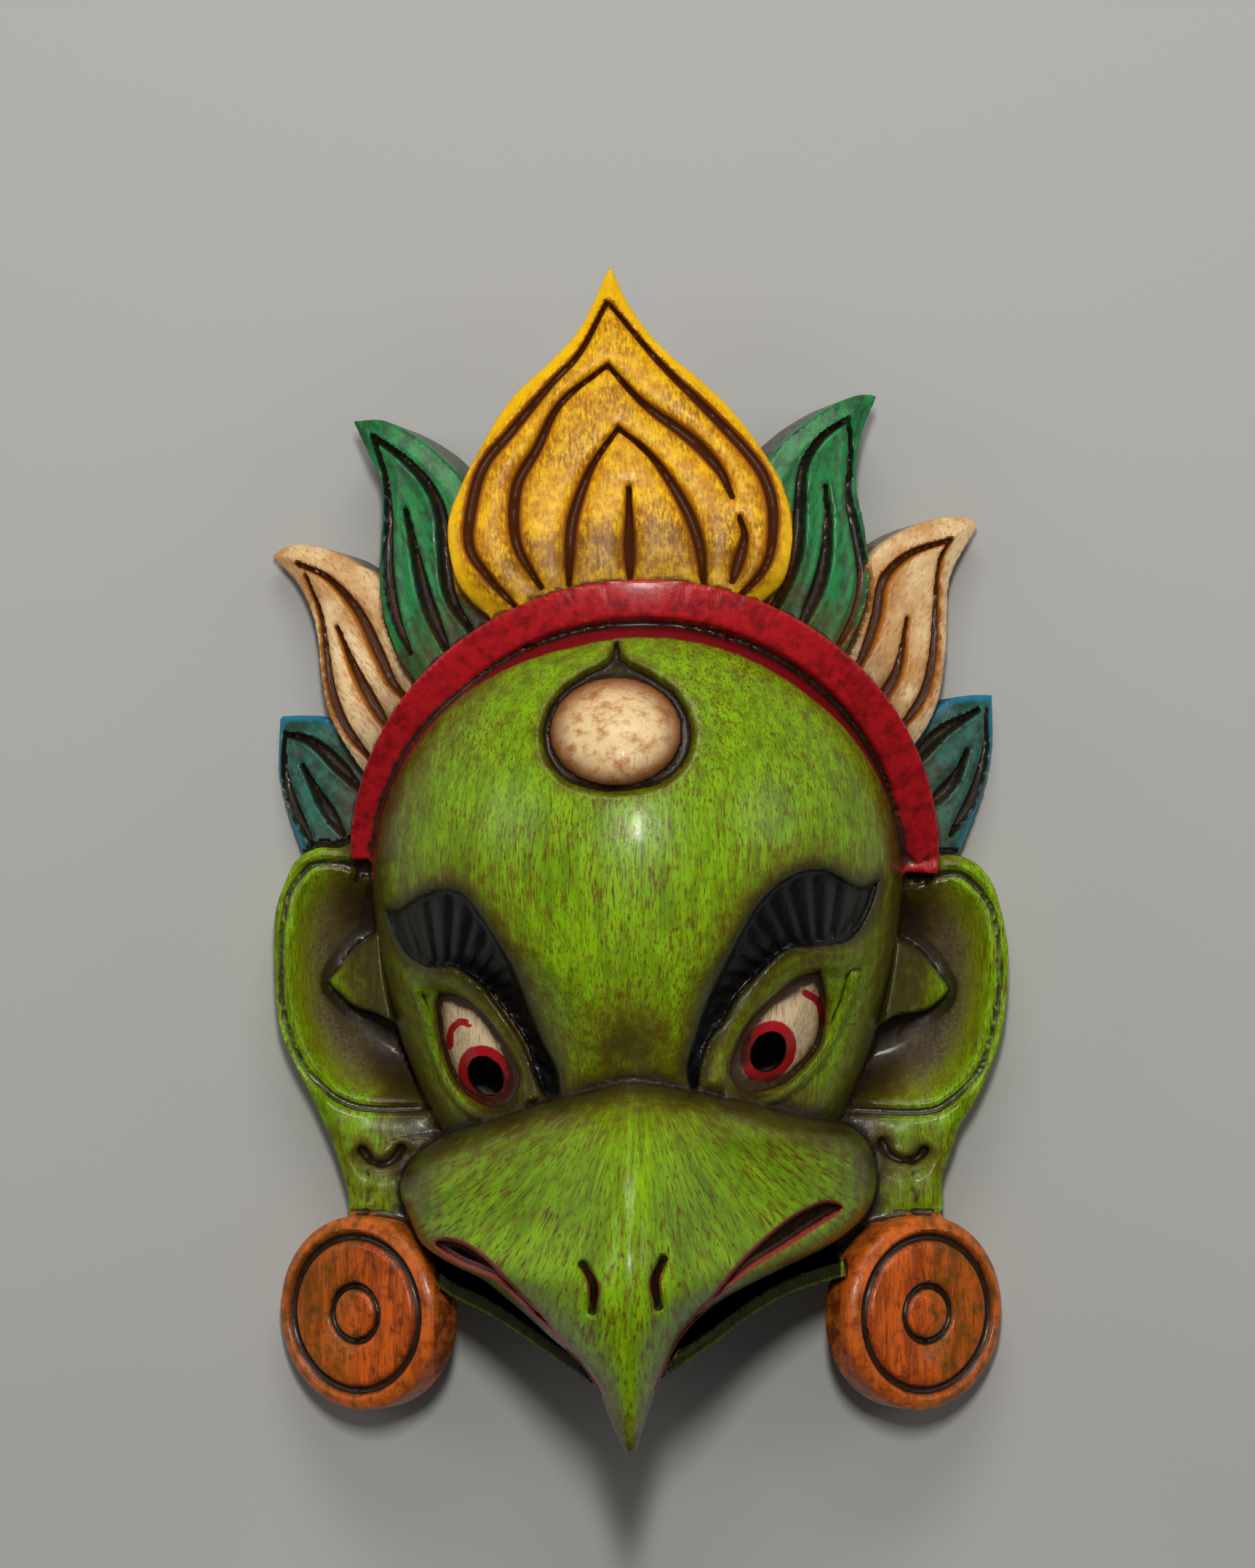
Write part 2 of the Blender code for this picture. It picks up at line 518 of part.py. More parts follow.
def weld(mesh):
    """Join a mesh's loose caps to its sides."""
    shape = bmesh.new()
    shape.from_mesh(mesh)
    bmesh.ops.remove_doubles(shape, verts=shape.verts, dist=1e-6)
    bmesh.ops.recalc_face_normals(shape, faces=shape.faces)
    shape.to_mesh(mesh)
    shape.free()


def loft(name, sections, collection):
    """Skin between sections of like point counts, closed at both ends."""
    count = len(sections[0])
    points = np.vstack(sections) * UNIT
    faces = []
    for row in range(len(sections) - 1):
        for step in range(count):
            after = (step + 1) % count
            faces.append((row * count + step, row * count + after,
                          (row + 1) * count + after, (row + 1) * count + step))
    faces.append(tuple(range(count))[::-1])
    faces.append(tuple(range((len(sections) - 1) * count, len(sections) * count)))
    mesh = bpy.data.meshes.new(name)
    mesh.from_pydata(points.tolist(), [], faces)
    weld(mesh)
    return new_object(name, mesh, collection)


def head(collection):
    """Egg-shaped head."""
    bpy.ops.mesh.primitive_uv_sphere_add(segments=HEAD_SEGMENTS, ring_count=HEAD_RINGS, radius=1)
    item = bpy.context.object
    item.name = "head"
    for vertex in item.data.vertices:
        x, y, z = vertex.co
        reach = HEAD_UPPER_REACH if y > 0 else HEAD_LOWER_REACH
        vertex.co = Vector((HEAD_CENTRE[0] + x * HEAD_HALF_WIDTH, HEAD_CENTRE[1] + y * reach,
                            max(HEAD_CENTRE[2] + z * HEAD_RISE, -SPARE_DEPTH))) * UNIT
    keep_in(item, collection)
    return item


def keep_in(item, collection):
    """Move an object out of its collections into one."""
    for holder in list(item.users_collection):
        holder.objects.unlink(item)
    collection.objects.link(item)


def band(collection):
    """Band over the brow, flat in front and sloping in to the forehead."""
    half = BAND_WIDTH / UNIT / 2
    inner = -half - BAND_SLOPE
    section = [(half, 0.0), (half, -BAND_BACK), (inner, -BAND_BACK), (inner, -BAND_SLOPE_DEPTH),
               (-half, -BAND_EDGE_DROP)]
    sections = []
    for angle in np.radians(np.linspace(BAND_FIRST_ANGLE, BAND_LAST_ANGLE, BAND_STATIONS)):
        out = np.array([math.cos(angle), math.sin(angle)])
        rise = max(math.sin(angle), 0) ** 1.1
        level = BAND_END + (BAND_TOP - BAND_END) * rise
        centre = np.array(BAND_CENTRE) + out * np.array([BAND_HALF_SPAN, BAND_HEIGHT])
        sections.append([(*(centre + out * r), max(level + z, -SPARE_DEPTH)) for r, z in section])
    return loft("band", sections, collection)


def beak_front(across, left, right, edge, ridge, hook):
    """Depth of the beak's front at places across one level slice."""
    side = np.where(across < BEAK_RIDGE, (across - BEAK_RIDGE) / (left - BEAK_RIDGE),
                    (across - BEAK_RIDGE) / (right - BEAK_RIDGE))
    side = np.clip(side, 0, 1)
    rise = ridge - edge
    cheek = min(BEAK_CHEEK_RISE, rise)
    broad = cheek * (1 - side ** 2.6) ** 0.5
    keel = (rise - cheek) / (1 + ((across - BEAK_RIDGE) / BEAK_RIDGE_WIDTH) ** 2) * (1 - side ** 3)
    hooked = rise * (1 - side ** 1.7) ** 0.8
    return edge + (1 - hook) * (broad + keel) + hook * hooked


def upper_beak(collection):
    """Hooked upper beak with its broad cheeks, lofted through level slices."""
    slices = smooth_path(BEAK_SLICES, steps=BEAK_STEPS)
    turn = np.linspace(0, math.pi, BEAK_SECTION_POINTS)
    sections = []
    for level, left, right, edge, ridge in slices:
        hook = float(ramp(BEAK_HOOK_STARTS, BEAK_HOOK_WHOLE, level))
        right = max(right, BEAK_RIDGE + 1.0)
        left = min(left, BEAK_RIDGE - 1.0)
        across = (left + right) / 2 - (right - left) / 2 * np.cos(turn)
        front = beak_front(across, left, right, edge, ridge, hook)
        free = float(ramp(BEAK_FREE_FROM, BEAK_FREE_FROM - BEAK_FREE_RUN, level))
        back = (1 - free) * BEAK_BACK + free * (edge - BEAK_HOOK_UNDERSIDE)
        bulge = BEAK_UNDER_BULGE * np.sin(turn) ** 2 * free
        rear = np.full(len(across), back) - bulge
        loop = [(x, level, z) for x, z in zip(across, front)]
        loop += [(x, level, z) for x, z in zip(across[::-1], rear[::-1])]
        sections.append(loop)
    return loft("upper_beak", sections, collection)


def lower_beak(collection):
    """Thin trough of the lower beak, from its lip back to the throat."""
    lip = smooth_path(LOWER_LIP, steps=LIP_STEPS)
    thick = LIP_THICKNESS / UNIT
    sections = []
    for x, y, z in lip:
        back_y = THROAT_LEVEL + (y - THROAT_LEVEL) * THROAT_RISE
        back_x = x * THROAT_SHARE
        sections.append([(x, y, z), (x, y + thick, z - 1.0), (back_x, back_y + thick, -SPARE_DEPTH),
                         (back_x, back_y, -SPARE_DEPTH)])
    return loft("lower_beak", sections, collection)


def disc_matrix(side):
    """Frame of an ear disc: origin at the middle of its front face."""
    turn = DISC_TURN if side == "right" else -DISC_TURN
    return Matrix.Translation(Vector(DISC_CENTRES[side])) @ Matrix.Rotation(turn, 4, "Y")


def disc(side, collection):
    """Ear disc, a short cylinder turned outwards."""
    bpy.ops.mesh.primitive_cylinder_add(vertices=DISC_SIDES, radius=DISC_DIAMETER / 2, depth=DISC_THICKNESS)
    item = bpy.context.object
    item.name = "disc_" + side
    bevel = item.modifiers.new("rounded rim", "BEVEL")
    bevel.width = DISC_EDGE_ROUND
    bevel.segments = 2
    placed = disc_matrix(side)
    placed.translation = placed.translation * UNIT
    item.data.transform(placed @ Matrix.Translation((0, 0, -DISC_THICKNESS / 2)))
    keep_in(item, collection)
    return item


def rough_forms(collection):
    """Every rough form of the block before the fine carving."""
    forms = [head(collection), band(collection), upper_beak(collection), lower_beak(collection)]
    for name, leaf in LEAVES.items():
        outline = onto_leaf(leaf, outline_of(leaf))
        forms.append(plate(name, outline, -leaf["thickness"], 0, collection, leaf_matrix(leaf)))
    for side, ear in EARS.items():
        outline = smooth_path(ear["outline"], closed=True)
        forms.append(plate("ear_" + side, outline, -SPARE_DEPTH, EAR_TOP, collection))
        forms.append(disc(side, collection))
    forms.append(plate("jaw", smooth_path(JAW, closed=True), -SPARE_DEPTH, JAW_TOP, collection))
    return forms


def merged(forms, voxel, name, collection):
    """One closed skin round all the forms."""
    depsgraph = bpy.context.evaluated_depsgraph_get()
    points = []
    faces = []
    for form in forms:
        mesh = form.evaluated_get(depsgraph).to_mesh()
        first = len(points)
        points += [form.matrix_world @ vertex.co for vertex in mesh.vertices]
        faces += [[first + index for index in face.vertices] for face in mesh.polygons]
    whole = bpy.data.meshes.new(name)
    whole.from_pydata(points, [], faces)
    item = new_object(name, whole, collection)
    remesh = item.modifiers.new("one skin", "REMESH")
    remesh.mode = "VOXEL"
    remesh.voxel_size = voxel
    apply_modifiers(item)
    for form in forms:
        bpy.data.objects.remove(form, do_unlink=True)
    return item


def apply_modifiers(item):
    """Replace the object's mesh with its evaluated one."""
    depsgraph = bpy.context.evaluated_depsgraph_get()
    mesh = bpy.data.meshes.new_from_object(item.evaluated_get(depsgraph))
    item.modifiers.clear()
    item.data = mesh


def leaf_carving(points):
    """Puffed edges and veins of the leaves, as a cut along each leaf's own Z."""
    shift = np.zeros_like(points)
    for leaf in LEAVES.values():
        matrix = leaf_matrix(leaf)
        local = into_frame(points, matrix)
        outline = onto_leaf(leaf, outline_of(leaf))
        level = local[:, 2]
        chosen = np.flatnonzero((level > -RELIEF_FADE) & (level < SKIN_TOLERANCE)
                                & near(local[:, :2], outline, SKIN_TOLERANCE))
        spots = local[chosen][:, :2]
        edge = inner_distance(spots, outline)
        drop = LEAF_EDGE_DROP * (1 - ramp(-1.0, LEAF_EDGE_REACH, edge))
        sunk = np.zeros(len(chosen))
        for vein in leaf["veins"]:
            path = onto_leaf(leaf, smooth_path(vein))
            away = vein_measure(spots, path)
            cut = VEIN_DEPTH / UNIT * np.clip(1 - away ** 2, 0, 1) ** 0.7
            pillow = PILLOW_DROP * np.clip(1 - away * VEIN_WIDTH / UNIT / 2 / PILLOW_REACH, 0, 1) ** 2
            sunk = np.maximum(sunk, cut + pillow)
        drop = np.maximum(drop, drop * 0.6 + sunk)
        drop *= np.clip(1 + level[chosen] / RELIEF_FADE, 0, 1) * (edge > -SKIN_TOLERANCE)
        out = np.array(matrix.to_3x3() @ Vector((0, 0, 1)))
        shift[chosen] -= drop[:, None] * out
    return shift


def beside_discs(points):
    """1 away from the ear discs, fading to 0 on them."""
    share = np.ones(len(points))
    radius = DISC_DIAMETER / UNIT / 2
    for side in DISC_CENTRES:
        local = into_frame(points, disc_matrix(side))
        away = np.hypot(local[:, 0], local[:, 1]) - radius
        share = np.minimum(share, ramp(0.5, 3.0, away))
    return share


def disc_carving(points):
    """Ring grooves of the ear discs."""
    shift = np.zeros_like(points)
    radius = DISC_DIAMETER / UNIT / 2
    for side in DISC_CENTRES:
        matrix = disc_matrix(side)
        local = into_frame(points, matrix)
        away = np.hypot(local[:, 0], local[:, 1])
        level = local[:, 2]
        chosen = (level > -RELIEF_FADE) & (level < SKIN_TOLERANCE) & (away < radius + SKIN_TOLERANCE)
        rim = 1 - ramp(0.2, GROOVE_WIDTH / UNIT * 0.6, np.abs(away - radius * DISC_RIM_SHARE))
        ring = 1 - ramp(0.2, GROOVE_WIDTH / UNIT * 0.45, np.abs(away - radius * DISC_RING_SHARE))
        edge = ramp(radius * 0.86, radius, away) * DISC_EDGE_DROP
        drop = np.maximum(np.maximum(rim, ring) * GROOVE_DEPTH / UNIT, edge)
        drop *= np.clip(1 + level / RELIEF_FADE, 0, 1)
        out = np.array(matrix.to_3x3() @ Vector((0, 0, 1)))
        shift[chosen] -= drop[chosen][:, None] * out
    return shift


def soft_distance(spots, path):
    """Distance to a path that stays smooth where two stretches are equally near."""
    lengths = np.hypot(*np.diff(path, axis=0).T)
    run = np.concatenate([[0], np.cumsum(lengths)])
    even = np.arange(0, run[-1], 1.0)
    stops = np.column_stack([np.interp(even, run, path[:, axis]) for axis in (0, 1)])
    pull = np.zeros(len(spots))
    for stop in stops:
        pull += 1 / np.maximum(((spots - stop) ** 2).sum(axis=1), 0.25) ** 1.5
    return np.sqrt(2 / pull)


def ear_bowl(spots, ear):
    """Distance inwards from the curl that borders the bowl of an ear."""
    curl = smooth_path(ear["curl"])
    inner = np.sign(curl[0, 0]) * EAR_BOWL_BACK
    rim = np.vstack([curl, [[inner, curl[-1, 1]], [inner, curl[0, 1]]]])
    return np.where(inner_distance(spots, rim) > 0, soft_distance(spots, curl), 0)


def ear_carving(points):
    """Bowl, curl, flap and lobe fold of both ears, as a cut along Z."""
    drop = np.zeros(len(points))
    flat = points[:, :2]
    for ear in EARS.values():
        outline = smooth_path(ear["outline"], closed=True)
        low_part = points[:, 2] < EAR_TOP + EAR_FADE
        chosen = np.flatnonzero(low_part & near(flat, outline, SKIN_TOLERANCE))
        edge = inner_distance(flat[chosen], outline)
        chosen = chosen[edge > -SKIN_TOLERANCE]
        edge = edge[edge > -SKIN_TOLERANCE]
        spots = flat[chosen]
        level = points[chosen][:, 2]
        inward = np.clip(ear_bowl(spots, ear) / EAR_BOWL_REACH, 0, 1)
        bowl = EAR_BOWL_DEPTH * np.sin(inward * math.pi / 2) ** 1.3
        tip = abs(ear["flap"][0][0])
        share = np.clip((tip - np.abs(spots[:, 0])) / EAR_FLAP_REACH, 0, 1)
        puff = ramp(-0.6, 1.0, inner_distance(spots, smooth_path(ear["flap"], closed=True)))
        cut = bowl - (EAR_FLAP_TIP + EAR_FLAP_RISE * share) * puff
        cut += EAR_EDGE_DROP * (1 - ramp(-1.0, 3.0, edge))
        cut += groove(spots, smooth_path(ear["curl"]), GROOVE_WIDTH / UNIT, GROOVE_DEPTH / UNIT)
        fold = smooth_path(ear["fold"])
        cut += groove(spots, fold, LOBE_FOLD_WIDTH, LOBE_FOLD_DEPTH)
        cut += groove(spots, fold - np.array([0, LOBE_FOLD_WIDTH / 2]), 2 * LOBE_FOLD_WIDTH, LOBE_FOLD_DEPTH / 2)
        below = np.clip((level + SPARE_DEPTH) / (EAR_TOP + SPARE_DEPTH), 0, 1)
        above = np.clip(1 - (level - EAR_TOP) / EAR_FADE, 0, 1)
        drop[chosen] = cut * below * above * beside_discs(points[chosen])
    return np.column_stack([np.zeros((len(points), 2)), -drop])


def face_level(points, facing):
    """Vertices that belong to the front of the head."""
    x = (points[:, 0] - HEAD_CENTRE[0]) / HEAD_HALF_WIDTH
    reach = np.where(points[:, 1] > HEAD_CENTRE[1], HEAD_UPPER_REACH, HEAD_LOWER_REACH)
    y = (points[:, 1] - HEAD_CENTRE[1]) / reach
    surface = HEAD_CENTRE[2] + HEAD_RISE * np.sqrt(np.clip(1 - x * x - y * y, 0, 1))
    return facing & (np.abs(points[:, 2] - surface) < HEAD_TOLERANCE) & (x * x + y * y < 1)


def brow_strands(spots, eye):
    """Fan of fine cuts that make the brow's hairs."""
    away = spots - np.array(eye["brow_root"])
    angle = np.degrees(np.arctan2(away[:, 1], away[:, 0]))
    span = (angle - eye["strands_from"]) / (eye["strands_to"] - eye["strands_from"])
    return STRAND_DEPTH * np.abs(np.cos(span * STRANDS * math.pi)) ** 3


def face_carving(points, facing):
    """Brows, lids, eyes and jewel, as a cut along Z on the front of the head."""
    drop = np.zeros(len(points))
    chosen = np.flatnonzero(face_level(points, facing))
    spots = points[chosen][:, :2]
    cut = np.zeros(len(chosen))
    for eye in EYES.values():
        away = np.hypot(*(spots - np.array(eye["centre"])).T)
        brow_edge = inner_distance(spots, smooth_path(eye["brow"])[:-1])
        ball_edge = inner_distance(spots, smooth_path(eye["ball"])[:-1])
        socket = SOCKET_DEPTH * (1 - ramp(0.35 * SOCKET_REACH, SOCKET_REACH, away))
        brow = ramp(-0.8, 1.0, brow_edge)
        ball = ramp(-0.8, 0.8, ball_edge)
        cut += socket
        cut += brow * (BROW_DEPTH + brow_strands(spots, eye) * ramp(0.5, 2.5, brow_edge))
        cut += ball * (EYE_DEPTH - EYE_BULGE * ramp(0.0, 9.0, ball_edge))
        for lid in ("upper_lid", "lower_lid"):
            path = smooth_path(eye[lid])
            roll = groove(spots, path, LID_WIDTH * (1.0 if lid == "upper_lid" else 0.5), LID_RISE)
            cut -= roll * (1 - ball) * (1 - brow)
    recess = inner_distance(spots, smooth_path(JEWEL_RECESS)[:-1])
    cut += JEWEL_RECESS_DEPTH * ramp(-1.0, 1.5, recess)
    across = (spots[:, 0] - JEWEL_CENTRE[0]) / (JEWEL_WIDTH / UNIT / 2)
    up = (spots[:, 1] - JEWEL_CENTRE[1]) / (JEWEL_HEIGHT / UNIT / 2)
    cut -= JEWEL_RISE * np.sqrt(np.clip(1 - across ** 2 - up ** 2, 0, 1))
    drop[chosen] = cut
    return np.column_stack([np.zeros((len(points), 2)), -drop])


def beak_carving(points, facing):
    """Mouth corners, lip lines and nostrils, as a cut along Z."""
    drop = np.zeros(len(points))
    flat = points[:, :2]
    for side in SLOTS:
        slot = smooth_path(SLOTS[side], closed=True)
        chosen = np.flatnonzero(near(flat, slot, 3.0) & facing & (points[:, 2] > SLOT_LEVEL))
        drop[chosen] += SLOT_DEPTH * ramp(-0.6, 1.2, inner_distance(flat[chosen], slot))
        lines = ((LIP_LINES[side], LIP_LINE_WIDTH, LIP_LINE_DEPTH), (NOSTRILS[side], NOSTRIL_WIDTH, NOSTRIL_DEPTH))
        for path, width, depth in lines:
            curve = smooth_path(path)
            chosen = np.flatnonzero(near(flat, curve, width) & facing & (points[:, 2] > NOSTRIL_LEVEL))
            drop[chosen] += groove(flat[chosen], curve, width, depth)
    return np.column_stack([np.zeros((len(points), 2)), -drop])


def carve(item):
    """Move the dense skin's vertices to make all the relief."""
    mesh = item.data
    count = len(mesh.vertices)
    points = np.empty(count * 3)
    normals = np.empty(count * 3)
    mesh.vertices.foreach_get("co", points)
    mesh.vertex_normals.foreach_get("vector", normals)
    points = points.reshape(-1, 3) / UNIT
    facing = normals.reshape(-1, 3)[:, 2] > FACING
    moved = points + leaf_carving(points) + disc_carving(points) + ear_carving(points)
    moved += face_carving(points, facing) + beak_carving(points, facing)
    mesh.vertices.foreach_set("co", (moved * UNIT).ravel())
    mesh.update()


def reduce_to(item, triangles):
    """Bring the skin down to about so many triangles."""
    count = sum(len(face.vertices) - 2 for face in item.data.polygons)
    decimate = item.modifiers.new("fewer faces", "DECIMATE")
    decimate.ratio = min(1.0, triangles / count)
    decimate.use_collapse_triangulate = True
    apply_modifiers(item)


def hollow_cutter(collection):
    """The room for the wearer's face: the head's egg drawn in by the wall."""
    bpy.ops.mesh.primitive_uv_sphere_add(segments=HOLLOW_SEGMENTS, ring_count=HOLLOW_RINGS, radius=1)
    item = bpy.context.object
    item.name = "hollow"
    wall = WALL / UNIT
    lower_reach = HEAD_CENTRE[1] - HOLLOW_LOWER_END
    for vertex in item.data.vertices:
        x, y, z = vertex.co
        reach = HEAD_UPPER_REACH - wall if y > 0 else lower_reach
        px = HEAD_CENTRE[0] + x * (HEAD_HALF_WIDTH - wall)
        py = HEAD_CENTRE[1] + y * reach
        pz = HEAD_CENTRE[2] + z * (HEAD_RISE - wall)
        for eye in EYES.values():
            away = math.hypot(px - eye["centre"][0], py - eye["centre"][1])
            fade = 1 - float(ramp(0.35 * SOCKET_REACH, 1.3 * SOCKET_REACH, away))
            pz -= (SOCKET_DEPTH + HOLLOW_SOCKET_WALL) * fade * max(z, 0)
        vertex.co = Vector((px, py, max(pz, -2 * SPARE_DEPTH))) * UNIT
    keep_in(item, collection)
    return as_cutter(item)


def pocket_cutter(collection):
    """The pocket inside the beak, for the wearer's nose."""
    bpy.ops.mesh.primitive_uv_sphere_add(segments=POCKET_SEGMENTS, ring_count=POCKET_RINGS, radius=UNIT)
    item = bpy.context.object
    item.name = "beak_pocket"
    item.data.transform(Matrix.Diagonal((*POCKET_SIZE, 1)))
    item.data.transform(Matrix.Translation(Vector((*POCKET_CENTRE, 0)) * UNIT))
    keep_in(item, collection)
    return as_cutter(item)


def pupil_cutter(side, collection):
    """The leaning hole that the wearer sees through."""
    bpy.ops.mesh.primitive_cylinder_add(vertices=PUPIL_SIDES, radius=0.5, depth=PUPIL_CUT * UNIT)
    item = bpy.context.object
    item.name = "pupil_" + side
    lean = PUPIL_TILT if side == "left" else -PUPIL_TILT
    item.data.transform(Matrix.Diagonal((PUPIL_WIDTH, PUPIL_HEIGHT, 1, 1)))
    item.data.transform(Matrix.Rotation(lean, 4, "Z"))
    item.data.transform(Matrix.Translation(Vector((*EYES[side]["pupil"], PUPIL_LEVEL)) * UNIT))
    keep_in(item, collection)
    return as_cutter(item)


def back_cutter(collection):
    """Everything below the flat back."""
    bpy.ops.mesh.primitive_cube_add(size=1)
    item = bpy.context.object
    item.name = "below_back"
    span = 1.5 * MASK_HEIGHT
    item.data.transform(Matrix.Translation((0, 0, -span / 2)) @ Matrix.Diagonal((span, span, span, 1)))
    keep_in(item, collection)
    return as_cutter(item)


def as_cutter(item):
    """Keep a cutting form out of the render."""
    item.hide_render = True
    item.display_type = "WIRE"
    return item


def painted_wood():
    """Plain painted material."""
    material = bpy.data.materials.new("painted_wood")
    material.use_nodes = True
    shader = material.node_tree.nodes["Principled BSDF"]
    shader.inputs["Base Color"].default_value = WOOD_COLOUR
    shader.inputs["Roughness"].default_value = WOOD_ROUGHNESS
    return material


def origin_under_middle(mask, collection):
    """Empty that sets the middle of the mask's outline over the origin."""
    spots = np.array([vertex.co[:2] for vertex in mask.data.vertices])
    middle = (spots.min(axis=0) + spots.max(axis=0)) / 2
    holder = new_object("mask_origin", None, collection)
    holder.location = (-middle[0], -middle[1], 0)
    return holder


def main():
    clear_scene()
    parts = bpy.data.collections.new("garuda mask")
    cutters = bpy.data.collections.new("cutters")
    for collection in (parts, cutters):
        bpy.context.scene.collection.children.link(collection)
    mask = merged(rough_forms(parts), VOXEL, "garuda_mask", parts)
    carve(mask)
    reduce_to(mask, FRONT_TRIANGLES)
    holder = origin_under_middle(mask, parts)
    mask.parent = holder
    for cutter in (back_cutter(cutters), hollow_cutter(cutters), pocket_cutter(cutters),
                   pupil_cutter("left", cutters), pupil_cutter("right", cutters)):
        cutter.parent = holder
        cut = mask.modifiers.new(cutter.name, "BOOLEAN")
        cut.operation = "DIFFERENCE"
        cut.object = cutter
    mask.data.materials.append(painted_wood())


main()
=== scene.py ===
import math

import bmesh
import bpy
import numpy as np
from mathutils import Matrix, Vector
from mathutils.kdtree import KDTree


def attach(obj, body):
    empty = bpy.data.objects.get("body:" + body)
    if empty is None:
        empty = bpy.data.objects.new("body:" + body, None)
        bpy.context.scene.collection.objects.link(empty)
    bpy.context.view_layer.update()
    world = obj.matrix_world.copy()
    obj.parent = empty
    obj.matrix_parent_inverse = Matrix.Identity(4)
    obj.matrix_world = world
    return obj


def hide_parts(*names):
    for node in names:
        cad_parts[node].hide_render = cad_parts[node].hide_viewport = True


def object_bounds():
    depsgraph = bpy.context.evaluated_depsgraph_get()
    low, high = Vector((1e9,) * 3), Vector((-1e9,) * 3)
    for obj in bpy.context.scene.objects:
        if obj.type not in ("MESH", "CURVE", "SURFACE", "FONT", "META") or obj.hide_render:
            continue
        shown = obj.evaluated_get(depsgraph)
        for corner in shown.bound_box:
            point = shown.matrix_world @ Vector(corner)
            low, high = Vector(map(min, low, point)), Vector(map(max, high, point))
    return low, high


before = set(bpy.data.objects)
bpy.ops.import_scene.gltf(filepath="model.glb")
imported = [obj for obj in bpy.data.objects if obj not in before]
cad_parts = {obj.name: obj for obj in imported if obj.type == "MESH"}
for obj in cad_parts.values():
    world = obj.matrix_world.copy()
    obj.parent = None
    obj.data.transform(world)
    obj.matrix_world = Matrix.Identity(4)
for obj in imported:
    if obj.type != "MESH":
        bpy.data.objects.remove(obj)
cad_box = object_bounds()

# Driving dimensions in metres
MASK_HEIGHT = 0.270
WALL = 0.0085
DISC_DIAMETER = 0.0456
DISC_THICKNESS = 0.011
DISC_TURN = math.radians(34)
PUPIL_WIDTH = 0.0076
PUPIL_HEIGHT = 0.0100
PUPIL_TILT = math.radians(28)
JEWEL_WIDTH = 0.030
JEWEL_HEIGHT = 0.025
BAND_WIDTH = 0.0084
GROOVE_WIDTH = 0.0032
GROOVE_DEPTH = 0.0017
VEIN_WIDTH = 0.0036
VEIN_DEPTH = 0.0017
LIP_THICKNESS = 0.0038

CARVING_UNITS = 270
UNIT = MASK_HEIGHT / CARVING_UNITS

# Fineness of the mesh
VOXEL = 0.0007
FRONT_TRIANGLES = 178000
OUTLINE_STEPS = 10
BEAK_STEPS = 8
LIP_STEPS = 8
HEAD_FINENESS = (256, 160)
DISC_SIDES = 160
BEAK_SECTION_POINTS = 90
BAND_STATIONS = 180

# Head: an egg whose upper half is shorter than its lower half
HEAD_CENTRE = (0.0, -5.0, 5.0)
HEAD_HALF_WIDTH = 63.5
HEAD_UPPER_REACH = 70.0
HEAD_LOWER_REACH = 95.0
HEAD_RISE = 73.0

# Depth of the block below Z = 0 that the flat back cut takes off
SPARE_DEPTH = 3.0

